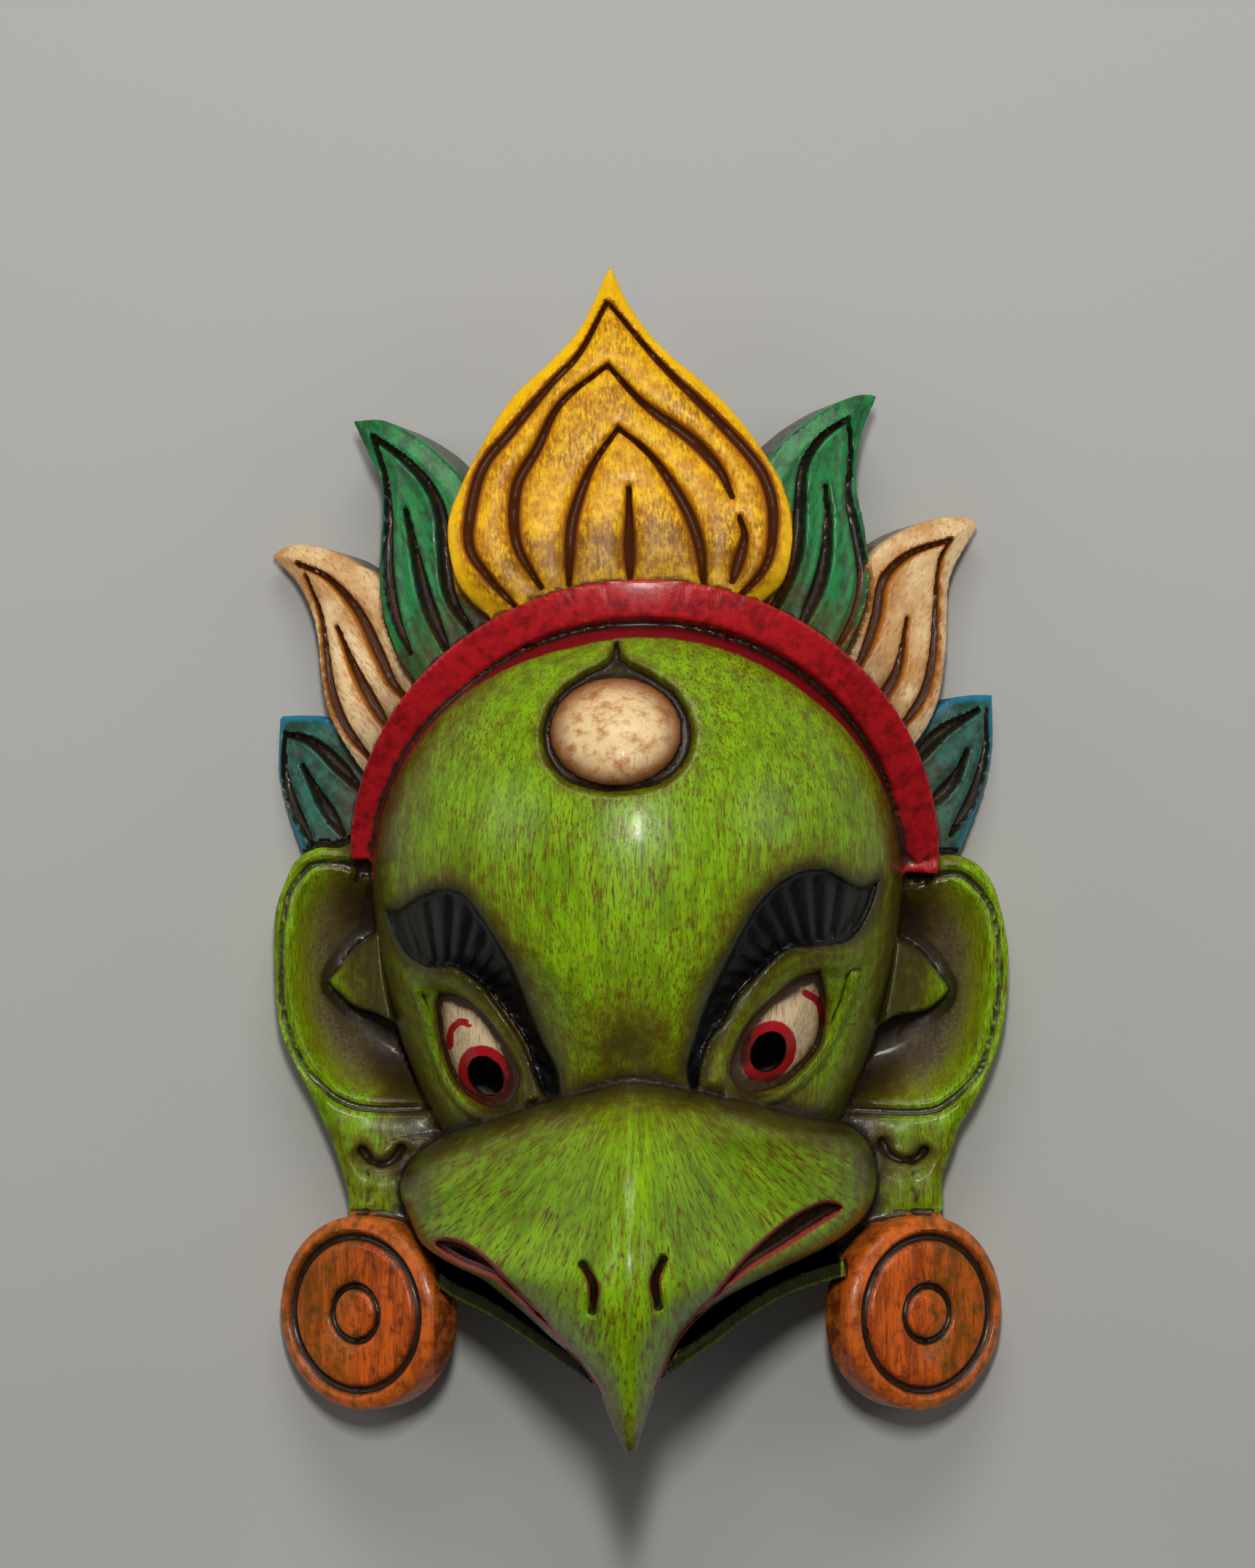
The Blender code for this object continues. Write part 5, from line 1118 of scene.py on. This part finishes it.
def pocket_cutter(collection):
    """The pocket inside the beak, for the wearer's nose."""
    item = primitive(bpy.ops.mesh.primitive_uv_sphere_add, "beak_pocket", collection,
                     segments=POCKET_FINENESS[0], ring_count=POCKET_FINENESS[1], radius=UNIT)
    item.data.transform(Matrix.Diagonal((*POCKET_SIZE, 1)))
    item.data.transform(Matrix.Translation(Vector((*POCKET_CENTRE, 0)) * UNIT))
    return item


def pupil_cutter(side, collection):
    """The leaning hole that the wearer sees through."""
    item = primitive(bpy.ops.mesh.primitive_cylinder_add, "pupil_" + side, collection,
                     vertices=PUPIL_SIDES, radius=0.5, depth=PUPIL_CUT * UNIT)
    lean = PUPIL_TILT if side == "left" else -PUPIL_TILT
    item.data.transform(Matrix.Diagonal((PUPIL_WIDTH, PUPIL_HEIGHT, 1, 1)))
    item.data.transform(Matrix.Rotation(lean, 4, "Z"))
    item.data.transform(Matrix.Translation(Vector((*EYES[side]["pupil"], PUPIL_LEVEL)) * UNIT))
    return item


def back_cutter(collection):
    """Everything below the flat back."""
    item = primitive(bpy.ops.mesh.primitive_cube_add, "below_back", collection, size=1)
    span = 1.5 * MASK_HEIGHT
    item.data.transform(Matrix.Translation((0, 0, -span / 2)) @ Matrix.Diagonal((span, span, span, 1)))
    return item


def linear(code):
    """Linear colour of an sRGB code."""
    channels = [int(code[i:i + 2], 16) / 255 for i in (0, 2, 4)]
    return tuple(c / 12.92 if c <= 0.04045 else ((c + 0.055) / 1.055) ** 2.4 for c in channels) + (1.0,)


def mesh_points(mesh):
    """Vertex places in carving units and vertex normals."""
    count = len(mesh.vertices)
    points = np.empty(count * 3)
    normals = np.empty(count * 3)
    mesh.vertices.foreach_get("co", points)
    mesh.vertex_normals.foreach_get("vector", normals)
    return points.reshape(-1, 3) / UNIT, normals.reshape(-1, 3)


def hollowness(mesh, rounds):
    """How far each vertex lies under its smoothed neighbourhood, at several widths."""
    points, normals = mesh_points(mesh)
    ends = np.empty(len(mesh.edges) * 2, dtype=np.int32)
    mesh.edges.foreach_get("vertices", ends)
    a, b = ends.reshape(-1, 2).T
    count = len(points)
    neighbours = np.bincount(a, minlength=count) + np.bincount(b, minlength=count)
    smooth = points.copy()
    results = []
    for step in range(max(rounds)):
        total = np.empty_like(smooth)
        for axis in range(3):
            total[:, axis] = np.bincount(a, smooth[b, axis], count)
            total[:, axis] += np.bincount(b, smooth[a, axis], count)
        smooth = total / neighbours[:, None]
        if step + 1 in rounds:
            results.append(((smooth - points) * normals).sum(axis=1))
    return points, results


def leaf_measures(points, measures):
    """Signed distance into each kind of leaf, and to its veins, edge and front face."""
    count = len(points)
    best = np.full(count, -FAR)
    vein = np.full(count, FAR)
    rim = np.full(count, FAR)
    depth = np.zeros(count)
    for kind, names in LEAF_KINDS.items():
        inside = np.full(count, -FAR)
        for name in names:
            leaf = LEAVES[name]
            local = into_frame(points, leaf_matrix(leaf))
            outline = onto_leaf(leaf, outline_of(leaf))
            chosen = np.flatnonzero(near(local[:, :2], outline, PAINT_MARGIN))
            spots = local[chosen][:, :2]
            level = local[chosen][:, 2]
            edge = inner_distance(spots, outline)
            reach = np.minimum(edge, level + leaf["thickness"]) + PAINT_REACH
            reach = np.minimum(reach, SKIN_TOLERANCE - level)
            if kind == "teal":
                ear = EARS["left" if leaf["pivot"][0] < 0 else "right"]
                ear_outline = smooth_path(ear["outline"], closed=True)
                reach = np.minimum(reach, -inner_distance(points[chosen][:, :2], ear_outline))
            inside[chosen] = np.maximum(inside[chosen], reach)
            nearest = np.full(len(chosen), FAR)
            for path in leaf["veins"]:
                nearest = np.minimum(nearest, vein_measure(spots, onto_leaf(leaf, smooth_path(path))))
            taken = reach > best[chosen]
            for values, found in ((best, reach), (vein, nearest), (rim, edge), (depth, level)):
                values[chosen[taken]] = found[taken]
        measures[kind] = inside
    measures.update(vein=vein, leaf_rim=rim, leaf_depth=depth)


def band_measures(points, measures):
    """Signed distance into the band over the brow and into the slope inside it."""
    across = points[:, 0] - BAND_CENTRE[0]
    up = points[:, 1] - BAND_CENTRE[1]
    turn = np.arctan2(up / BAND_HEIGHT, across / BAND_HALF_SPAN)
    offset = np.hypot(across, up) - np.hypot(BAND_HALF_SPAN * np.cos(turn), BAND_HEIGHT * np.sin(turn))
    level = BAND_END + (BAND_TOP - BAND_END) * np.clip(np.sin(turn), 0, 1) ** BAND_RISE_POWER
    half = BAND_WIDTH / UNIT / 2
    above = points[:, 2] - level
    ends = (np.sin(turn) + BAND_PAINT_END) * BAND_HALF_SPAN
    front = np.minimum(half + PAINT_REACH - np.abs(offset), above + BAND_PAINT_DEPTH)
    measures["band"] = np.minimum(np.minimum(front, SKIN_TOLERANCE - above), ends)
    slope = np.minimum(half + BAND_PAINT_SLOPE + offset, PAINT_REACH - half - offset)
    slope = np.minimum(slope, np.minimum(above + SLOPE_PAINT_DEPTH, SLOPE_PAINT_TOP - above))
    measures["band_slope"] = np.minimum(slope, ends)
    # Brown patina and painted shade beside the band
    beside = np.exp(-np.maximum(np.abs(offset) - half, 0) / BAND_GRIME_AND_SHADE_REACH)
    measures["grime_and_shade"] = BAND_GRIME_AND_SHADE * beside * (points[:, 1] > BAND_GRIME_AND_SHADE_END)


def disc_measures(points, measures):
    """Signed distance into the ear discs and distance from a disc's middle."""
    radius = DISC_DIAMETER / UNIT / 2
    inside = np.full(len(points), -FAR)
    away = np.full(len(points), VERY_FAR)
    depth = np.zeros(len(points))
    for side in DISC_CENTRES:
        local = into_frame(points, disc_matrix(side))
        out = np.hypot(local[:, 0], local[:, 1])
        level = local[:, 2]
        reach = np.minimum(np.minimum(radius - out, level + DISC_THICKNESS / UNIT) + 1.0, 2.0 - level)
        taken = reach > inside
        for values, found in ((inside, reach), (away, out), (depth, level)):
            values[taken] = found[taken]
    measures.update(disc=inside, disc_away=away, disc_depth=depth)


def ear_measures(points, measures):
    """Depth into the bowls of the ears and distance to the lobe folds."""
    flat = points[:, :2]
    bowl = np.full(len(points), -FAR)
    fold = np.full(len(points), FAR)
    on_ear = (points[:, 2] < EAR_TOP + PAINT_MARGIN) & (points[:, 2] > 1.0)
    for ear in EARS.values():
        chosen = np.flatnonzero(near(flat, smooth_path(ear["curl"]), LINE_MARGIN) & on_ear)
        spots = flat[chosen]
        flap = inner_distance(spots, smooth_path(ear["flap"], closed=True))
        bowl[chosen] = np.minimum(ear_bowl(spots, ear), -FLAP_CLEAR * flap)
        crease = smooth_path(ear["fold"])
        chosen = np.flatnonzero(near(flat, crease, LINE_MARGIN) & on_ear)
        fold[chosen] = path_distance(flat[chosen], crease)
    measures.update(bowl=bowl, ear_fold=fold)


def beak_measures(points, measures):
    """Signed distances on the beak: its front, mouth, corners, lines and nostrils."""
    flat = points[:, :2]
    rows = np.array(BEAK_SLICES)
    outline = np.vstack([rows[:, [1, 0]], rows[::-1][:, [2, 0]]])
    in_outline = inner_distance(flat, outline)
    edge_level = np.interp(-points[:, 1], -rows[:, 0], rows[:, 3])
    front = np.minimum(in_outline + 1.0, points[:, 2] - edge_level + 2.0)
    lip = np.array(LOWER_LIP)
    lip_y = np.interp(points[:, 0], lip[:, 0], lip[:, 1])
    lip_z = np.interp(points[:, 0], lip[:, 0], lip[:, 2])
    throat_y = THROAT_LEVEL + (lip_y - THROAT_LEVEL) * THROAT_RISE
    share = (points[:, 2] + SPARE_DEPTH) / (lip_z + SPARE_DEPTH)
    lip_in = points[:, 1] - (throat_y + (lip_y - throat_y) * share)
    mouth = np.minimum(lip_in - MOUTH_LIP_SHARE * LIP_THICKNESS / UNIT, lip_z - MOUTH_LIP_DEPTH - points[:, 2])
    mouth = np.minimum(mouth, edge_level - MOUTH_EDGE_DEPTH - points[:, 2])
    mouth = np.minimum(mouth, np.minimum(MOUTH_HALF_WIDTH - np.abs(points[:, 0]), MOUTH_TOP - points[:, 1]))
    lower = np.minimum(lip_z + 1.0 - points[:, 2], LOWER_BEAK_TOP - points[:, 1])
    lower = np.minimum(lower, LOWER_BEAK_HALF_WIDTH - np.abs(points[:, 0]))
    # under the upper beak's overhang, where the lower beak's painted shade reaches
    under = np.where(in_outline > -1.0, edge_level - LOWER_BEAK_CLEAR - points[:, 2], FAR)
    slot = np.full(len(points), -FAR)
    slot_floor = np.full(len(points), -FAR)
    line = np.full(len(points), FAR)
    nostril = np.full(len(points), FAR)
    for side in SLOTS:
        shape = smooth_path(SLOTS[side], closed=True)
        chosen = np.flatnonzero(near(flat, shape, LINE_MARGIN) & (front > 0))
        slot[chosen] = inner_distance(flat[chosen], shape)
        slot_floor[chosen] = inner_distance(flat[chosen] - np.array([0, SLOT_BAND]), shape)
        curve = smooth_path(LIP_LINES[side])
        chosen = np.flatnonzero(near(flat, curve, LINE_MARGIN) & (front > 0))
        line[chosen] = path_distance(flat[chosen], curve)
        curve = smooth_path(NOSTRILS[side])
        chosen = np.flatnonzero(near(flat, curve, LINE_MARGIN) & (front > 0))
        away, share = path_measure(flat[chosen], curve)
        nostril[chosen] = away / (NOSTRIL_THIN + (1 - NOSTRIL_THIN) * np.sin(math.pi * share))
    measures.update(beak=front, mouth=mouth, lower_beak=np.minimum(lower, under), lip_in=lip_in, slot=slot,
                    slot_floor=slot_floor, lip_line=line, nostril=nostril)


def face_measures(points, measures):
    """Signed distances into the brows, the eyes and the jewel."""
    flat = points[:, :2]
    count = len(points)
    brow = np.full(count, -FAR)
    ball = np.full(count, -FAR)
    recess = np.full(count, -FAR)
    pupil = np.full(count, VERY_FAR)
    stroke = np.full(count, FAR)
    high = points[:, 2] > FACE_LEVEL
    zones = [(recess, JEWEL_RECESS)]
    for side, eye in EYES.items():
        zones += [(brow, eye["brow"]), (ball, eye["ball"])]
        lean = PUPIL_TILT if side == "left" else -PUPIL_TILT
        offset = flat - np.array(eye["pupil"])
        across = offset @ np.array([math.cos(lean), math.sin(lean)]) / PUPIL_RING[0]
        up = offset @ np.array([-math.sin(lean), math.cos(lean)]) / PUPIL_RING[1]
        pupil = np.minimum(pupil, np.hypot(across, up))
    for values, corners in zones:
        outline = smooth_path(corners)[:-1]
        chosen = np.flatnonzero(near(flat, outline, PAINT_MARGIN) & high)
        values[chosen] = np.maximum(values[chosen], inner_distance(flat[chosen], outline))
    for path in EYE_STROKES:
        stroke = np.minimum(stroke, path_distance(flat, smooth_path(path)))
    across = (flat[:, 0] - JEWEL_CENTRE[0]) / (JEWEL_WIDTH / UNIT / 2)
    up = (flat[:, 1] - JEWEL_CENTRE[1]) / (JEWEL_HEIGHT / UNIT / 2)
    jewel = np.where(high, (1 - np.hypot(across, up)) * JEWEL_HEIGHT / UNIT / 2, -FAR)
    measures.update(brow=np.minimum(brow, BROW_BEAK_GAP - measures["beak"]), ball=ball, pupil=pupil,
                    stroke=stroke, jewel=jewel, recess=recess)


def grime_and_shade_measure(points, measures):
    """Share of brown patina and painted shade beside brows, eyes, band, beak, jewel and sides."""
    flat = points[:, :2]
    grime_and_shade = measures["grime_and_shade"]
    rows = np.array(BEAK_SLICES)
    top = rows[rows[:, 0] > BEAK_TOP_ROWS]
    foot = rows[rows[:, 0] < BEAK_FOOT_ROWS]
    paths = [(np.vstack([top[::-1][:, [1, 0]], top[:, [2, 0]]]), *GRIME_AND_SHADE["beak_top"]),
             (foot[:, [1, 0]], *GRIME_AND_SHADE["beak_foot"]), (foot[:, [2, 0]], *GRIME_AND_SHADE["beak_foot"]),
             (smooth_path(JEWEL_RECESS), *GRIME_AND_SHADE["jewel"])]
    for eye in EYES.values():
        paths += [(smooth_path(eye[name]), *GRIME_AND_SHADE[name]) for name in ("brow", "ball")]
    for path, reach, strength in paths:
        chosen = np.flatnonzero(near(flat, path, 4 * reach))
        away = path_distance(flat[chosen], path)
        grime_and_shade[chosen] = np.maximum(grime_and_shade[chosen], strength * np.exp(-away / reach))
    reach, strength = GRIME_AND_SHADE["between_brows"]
    away = np.hypot(*(flat - np.array(GRIME_AND_SHADE_SPOT)).T)
    grime_and_shade = np.maximum(grime_and_shade, strength * np.exp(-(away / reach) ** 2))
    # Darker towards the head's sides: painted shade with brown patina
    x = (flat[:, 0] - HEAD_CENTRE[0]) / HEAD_HALF_WIDTH
    reach = np.where(flat[:, 1] > HEAD_CENTRE[1], HEAD_UPPER_REACH, HEAD_LOWER_REACH)
    out = np.hypot(x, (flat[:, 1] - HEAD_CENTRE[1]) / reach)
    side = SIDE_GRIME_AND_SHADE * ramp(*SIDE_GRIME_AND_SHADE_STARTS, out) * (1 - ramp(*SIDE_GRIME_AND_SHADE_ENDS, out))
    grime_and_shade = np.maximum(grime_and_shade, side * (measures["beak"] < 0))
    # Darker towards the bottom of the lobes
    on_lobe = (np.abs(flat[:, 0]) > LOBE_SIDE) & (flat[:, 1] < LOBE_TOP) & (points[:, 2] < EAR_TOP + EAR_FADE)
    lobe = LOBE_DARKENING * on_lobe * ramp(LOBE_TOP, LOBE_TOP - LOBE_DARKENING_RUN, flat[:, 1])
    measures["grime_and_shade"] = np.maximum(grime_and_shade, lobe)


def back_measure(points, normals):
    """Bare wood: the flat back and the walls of the hollow."""
    inset = WALL / UNIT - 1.0
    x = (points[:, 0] - HEAD_CENTRE[0]) / (HEAD_HALF_WIDTH - inset)
    reach = np.where(points[:, 1] > HEAD_CENTRE[1], HEAD_UPPER_REACH - inset,
                     HEAD_CENTRE[1] - HOLLOW_LOWER_END + 1.0)
    y = (points[:, 1] - HEAD_CENTRE[1]) / reach
    z = (points[:, 2] - HEAD_CENTRE[2]) / (HEAD_RISE - inset)
    hollow = (1 - np.sqrt(x * x + y * y + z * z)) * HOLLOW_SPAN
    pocket = (points - np.array([*POCKET_CENTRE, 0])) / (np.array(POCKET_SIZE) + PAINT_REACH)
    hollow = np.maximum(hollow, (1 - np.sqrt((pocket ** 2).sum(axis=1))) * POCKET_SPAN)
    outwards = ((points - np.array(HEAD_CENTRE)) * normals).sum(axis=1) > 0
    hollow[outwards] = -FAR
    return np.maximum(hollow, PAINT_REACH - points[:, 2])


def stroke_space(points, measures):
    """Coordinates drawn out along the brush strokes of each form."""
    space = points * np.array([1.0, STREAK_SHARE, 1.0])
    on_beak = measures["beak"] > 0
    offset = points[on_beak][:, :2] - np.array(BEAK_CROWN)
    away = np.hypot(*offset.T)
    fan = np.arctan2(offset[:, 0], -offset[:, 1]) * BEAK_FAN + BEAK_FAN_START
    space[on_beak] = np.column_stack([fan, away * STREAK_SHARE, np.zeros(on_beak.sum())])
    for kind, names in LEAF_KINDS.items():
        for name in names:
            leaf = LEAVES[name]
            local = into_frame(points, leaf_matrix(leaf))
            chosen = measures[kind] > 0
            if len(names) > 1:
                chosen &= points[:, 0] * leaf["pivot"][0] >= 0
            tip = onto_leaf(leaf, leaf["outline"][:1])[0]
            along = tip / np.hypot(*tip)
            run = local[chosen][:, :2] @ along
            side = local[chosen][:, :2] @ np.array([along[1], -along[0]])
            space[chosen] = np.column_stack([side, run * LEAF_STREAK_SHARE, local[chosen][:, 2]])
    return space


def store(mesh, name, values):
    """Keep one value a vertex under a name that the material reads."""
    kind = "FLOAT_VECTOR" if values.ndim == 2 else "FLOAT"
    attribute = mesh.attributes.new(name, kind, "POINT")
    attribute.data.foreach_set("vector" if values.ndim == 2 else "value", values.astype(np.float32).ravel())


def measure_skin(mesh, dense_points, hollows):
    """Every measure that the paint needs, stored on the mesh."""
    points, normals = mesh_points(mesh)
    measures = {}
    for work in (leaf_measures, band_measures, disc_measures, ear_measures, beak_measures, face_measures,
                 grime_and_shade_measure):
        work(points, measures)
    measures["bare"] = back_measure(points, normals)
    tree = KDTree(len(dense_points))
    for index, point in enumerate(dense_points):
        tree.insert(point, index)
    tree.balance()
    nearest = np.array([tree.find(point)[1] for point in points])
    for name, values in zip(HOLLOWNESS_ROUNDS, hollows):
        measures[name] = values[nearest]
    for name, values in measures.items():
        store(mesh, name, values)
    store(mesh, "strokes", stroke_space(points, measures))


class Paint:
    """Short calls that add shader nodes and link them, and the named values that layers use."""

    def __init__(self, material):
        self.nodes = material.node_tree.nodes
        self.links = material.node_tree.links
        self.values = {}

    def feed(self, socket, value):
        if isinstance(value, bpy.types.NodeSocket):
            self.links.new(value, socket)
        else:
            socket.default_value = value

    def add(self, kind, inputs, output=0, **settings):
        node = self.nodes.new(kind)
        for name, value in settings.items():
            setattr(node, name, value)
        for key, value in inputs.items():
            self.feed(node.inputs[key], value)
        return node.outputs[output]

    def value(self, name):
        """A named value, or else the measure of that name; a ~ after it adds the brush's wobble."""
        if name.endswith("~"):
            return self.plus(self.value(name[:-1]), self.values["wobble"])
        if name not in self.values:
            self.values[name] = self.add("ShaderNodeAttribute", {}, "Fac", attribute_name=name)
        return self.values[name]

    def math(self, operation, *values):
        """One operation run through all the values in turn."""
        result = values[0]
        for value in values[1:]:
            result = self.add("ShaderNodeMath", {0: result, 1: value}, operation=operation)
        return result

    def times(self, *values):
        return self.math("MULTIPLY", *values)

    def plus(self, *values):
        return self.math("ADD", *values)

    def most(self, *values):
        return self.math("MAXIMUM", *values)

    def rest(self, share, part=1.0):
        """What is left of one after a part of a share."""
        return self.math("SUBTRACT", 1.0, self.times(share, part))

    def swing(self, value, span):
        """A noise moved to either side of nought and widened."""
        return self.times(self.math("SUBTRACT", value, 0.5), span)

    def ramp(self, value, low, high, to_low=0.0, to_high=1.0):
        """Smooth step of a value, given by name or as a socket."""
        value = self.value(value) if isinstance(value, str) else value
        inputs = {"Value": value, "From Min": low, "From Max": high, "To Min": to_low, "To Max": to_high}
        return self.add("ShaderNodeMapRange", inputs, interpolation_type="SMOOTHSTEP")

    def share(self, parts):
        """Product of ramps and of named shares."""
        return self.times(*(self.value(part) if isinstance(part, str) else self.ramp(*part) for part in parts))

    def coat(self, tone):
        """A tone as an sRGB code, or else the coat of that name with its layers."""
        return self.layered(COATS[tone]) if tone in COATS else linear(tone)

    def layered(self, layers):
        """A base tone with further tones over it, each where its shares say."""
        colour = self.coat(layers[0])
        for tone, *parts in layers[1:]:
            inputs = {0: self.share(parts), 6: colour, 7: self.coat(tone)}
            colour = self.add("ShaderNodeMix", inputs, 2, data_type="RGBA", blend_type="MIX")
        return colour

    def stretched(self, vector, scale):
        return self.add("ShaderNodeVectorMath", {0: vector, 1: scale}, operation="MULTIPLY")

    def noise(self, vector, scale, detail=3.0, roughness=0.55, distortion=0.0):
        inputs = {"Vector": vector, "Scale": scale, "Detail": detail, "Roughness": roughness,
                  "Distortion": distortion}
        return self.add("ShaderNodeTexNoise", inputs)


def paint_values(p, place, strokes):
    """Noises and mixed shares that the coats and layers name."""
    values = p.values
    values["wobble"] = p.swing(p.noise(place, 0.35), 0.9)
    for name, (drawn, scale, detail) in NOISES.items():
        values[name] = p.noise(strokes if drawn else place, scale, *detail)
    radius = DISC_DIAMETER / UNIT / 2
    for name, share in (("ring_near", DISC_RING_SHARE), ("rim_near", DISC_RIM_SHARE)):
        away = p.math("SUBTRACT", p.value("disc_away"), radius * share)
        values[name] = p.add("ShaderNodeMath", {0: away}, operation="ABSOLUTE")
    values["bowl_uneven"] = p.plus(p.value("bowl"), p.swing(values["mottle"], 5.0))
    values["gathered_and_shaded"] = p.plus(p.value("grime_and_shade"), p.swing(values["mottle"], 0.9))
    values["vein_edge"] = p.plus(p.value("vein"), p.times(values["wobble"], 0.12))
    values["pupil_edge"] = p.plus(p.value("pupil"), p.times(values["wobble"], 0.1))
    values["on_warm"] = p.most(p.ramp("yellow", *EDGE), p.ramp("cream", *EDGE))
    values["on_leaf"] = p.most(p.ramp("emerald", *EDGE), p.ramp("teal", *EDGE), values["on_warm"])
    for name, parts in SHARES.items():
        values[name] = p.share(parts)
    # Darker where the skin lies in a hollow: brown patina there, and painted shade
    cavity = p.plus(*(p.ramp(name, *reach) for name, reach in CAVITIES.items()))
    cavity = p.times(cavity, p.rest(values["bowl_deep"], 0.65), p.rest(values["on_warm"], 0.35))
    wash_and_shade = p.math("MINIMUM", p.times(cavity, p.ramp("mottle", 0.3, 0.7, 0.65, 1.1)), 0.93)
    values["washed_and_shaded"] = p.times(wash_and_shade, p.rest(values["brow_share"]))
    values["grain"] = p.noise(p.stretched(place, WOOD_GRAIN), 1.0, 4.0, 0.6, 0.6)


def painted_wood():
    """Layers of paint over carved wood, rubbed with brown, with painted shade and highlights, and varnished."""
    material = bpy.data.materials.new("painted_wood")
    material.use_nodes = True
    p = Paint(material)
    shader = material.node_tree.nodes["Principled BSDF"]
    place = p.stretched(p.add("ShaderNodeTexCoord", {}, "Object"), (1 / UNIT,) * 3)
    strokes = p.add("ShaderNodeAttribute", {}, "Vector", attribute_name="strokes")
    paint_values(p, place, strokes)
    v = p.values
    p.feed(shader.inputs["Base Color"], p.layered(SKIN))
    dull = p.most(v["mouth_dark"], v["slot_dark"], v["nostril_dark"], p.times(v["lower"], 0.75),
                  p.ramp("yellow", *EDGE, 0.0, 0.55), p.times(v["bare_share"], 0.6))
    gloss = p.rest(dull)
    rough = p.ramp(p.noise(place, 0.7, 4.0, 0.6), 0.3, 0.7, 0.26, 0.42)
    rough = p.plus(rough, p.times(v["bare_share"], 0.35), p.times(v["bowl_deep"], 0.2))
    p.feed(shader.inputs["Roughness"], rough)
    shader.inputs["Coat Roughness"].default_value = 0.12
    p.feed(shader.inputs["Coat Weight"], p.times(p.rest(v["bare_share"]), gloss, 0.08))
    p.feed(shader.inputs["Specular IOR Level"], p.times(gloss, 0.26))
    height = p.plus(p.times(v["fine"], 0.5), p.times(v["speck"], 0.35), p.times(v["broad"], 0.8))
    bump = p.add("ShaderNodeBump", {"Strength": 0.35, "Distance": 0.00035, "Height": height})
    p.feed(shader.inputs["Normal"], bump)
    return material


def fit_to(mesh, box):
    """Draw the skin in to the solid's own box, by less than a millimetre on any side."""
    points, _ = mesh_points(mesh)
    span = (points.max(axis=0) - points.min(axis=0)) * UNIT
    share = np.minimum((np.array(box[1]) - np.array(box[0])) / span, 1.0)
    mesh.transform(Matrix.Diagonal((*share, 1.0)))


def build_mask(collection):
    """The whole mask, cut, measured and painted; also the middle of its outline."""
    mask = merged(rough_forms(collection), VOXEL, "garuda_mask_carved", collection)
    carve(mask)
    dense_points, hollows = hollowness(mask.data, list(HOLLOWNESS_ROUNDS.values()))
    reduce_to(mask, FRONT_TRIANGLES)
    spots, _ = mesh_points(mask.data)
    middle = (spots.min(axis=0) + spots.max(axis=0)) / 2 * UNIT
    tools = [back_cutter(collection), hollow_cutter(collection), pocket_cutter(collection),
             pupil_cutter("left", collection), pupil_cutter("right", collection)]
    for cutter in tools:
        cut = mask.modifiers.new(cutter.name, "BOOLEAN")
        cut.operation = "DIFFERENCE"
        cut.object = cutter
    apply_modifiers(mask)
    for cutter in tools:
        bpy.data.objects.remove(cutter, do_unlink=True)
    measure_skin(mask.data, dense_points, hollows)
    mask.data.transform(Matrix.Translation((-middle[0], -middle[1], 0)))
    fit_to(mask.data, cad_box)
    mask.data.shade_smooth()
    mask.data.set_sharp_from_angle(angle=SHARP_ANGLE)
    mask.data.materials.clear()
    mask.data.materials.append(painted_wood())
    return mask, middle


def floor():
    """Plain pale studio floor that the mask lies on."""
    bpy.ops.mesh.primitive_plane_add(size=FLOOR_SIZE, location=(0, 0, -FLOOR_GAP))
    item = bpy.context.object
    item.name = "studio_floor"
    material = bpy.data.materials.new("studio_floor")
    material.use_nodes = True
    shader = material.node_tree.nodes["Principled BSDF"]
    shader.inputs["Base Color"].default_value = FLOOR_COLOUR
    shader.inputs["Roughness"].default_value = FLOOR_ROUGHNESS
    item.data.materials.append(material)
    return item


def soft_box(name, place, aim, width, height, power):
    """One soft studio light that points at a spot."""
    data = bpy.data.lights.new(name, "AREA")
    data.shape = "RECTANGLE"
    data.size = width
    data.size_y = height
    data.energy = power
    data.color = LIGHT_COLOUR
    item = new_object(name, data, bpy.context.scene.collection)
    item.location = place
    item.rotation_euler = (Vector(aim) - Vector(place)).to_track_quat("-Z", "Y").to_euler()


def studio():
    """Camera over the mask, soft lights and a light grey world."""
    camera_data = bpy.data.cameras.new("camera")
    camera_data.lens = CAMERA_LENS
    camera_data.sensor_width = SENSOR
    camera_data.clip_end = 20.0
    camera = new_object("camera", camera_data, bpy.context.scene.collection)
    bpy.context.scene.camera = camera
    for light in LIGHTS:
        soft_box(*light)
    world = bpy.data.worlds.new("studio")
    world.use_nodes = True
    background = world.node_tree.nodes["Background"]
    background.inputs["Color"].default_value = WORLD_COLOUR
    background.inputs["Strength"].default_value = WORLD_STRENGTH
    bpy.context.scene.world = world
    bpy.context.scene.view_settings.view_transform = "Standard"
    return camera


parts = bpy.data.collections.new("garuda mask")
bpy.context.scene.collection.children.link(parts)
camera = studio()
mask, middle = build_mask(parts)
camera.location = Vector(CAMERA_STAND) * UNIT - Vector((middle[0], middle[1], 0))
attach(mask, "root")
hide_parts("garuda_mask")
floor()
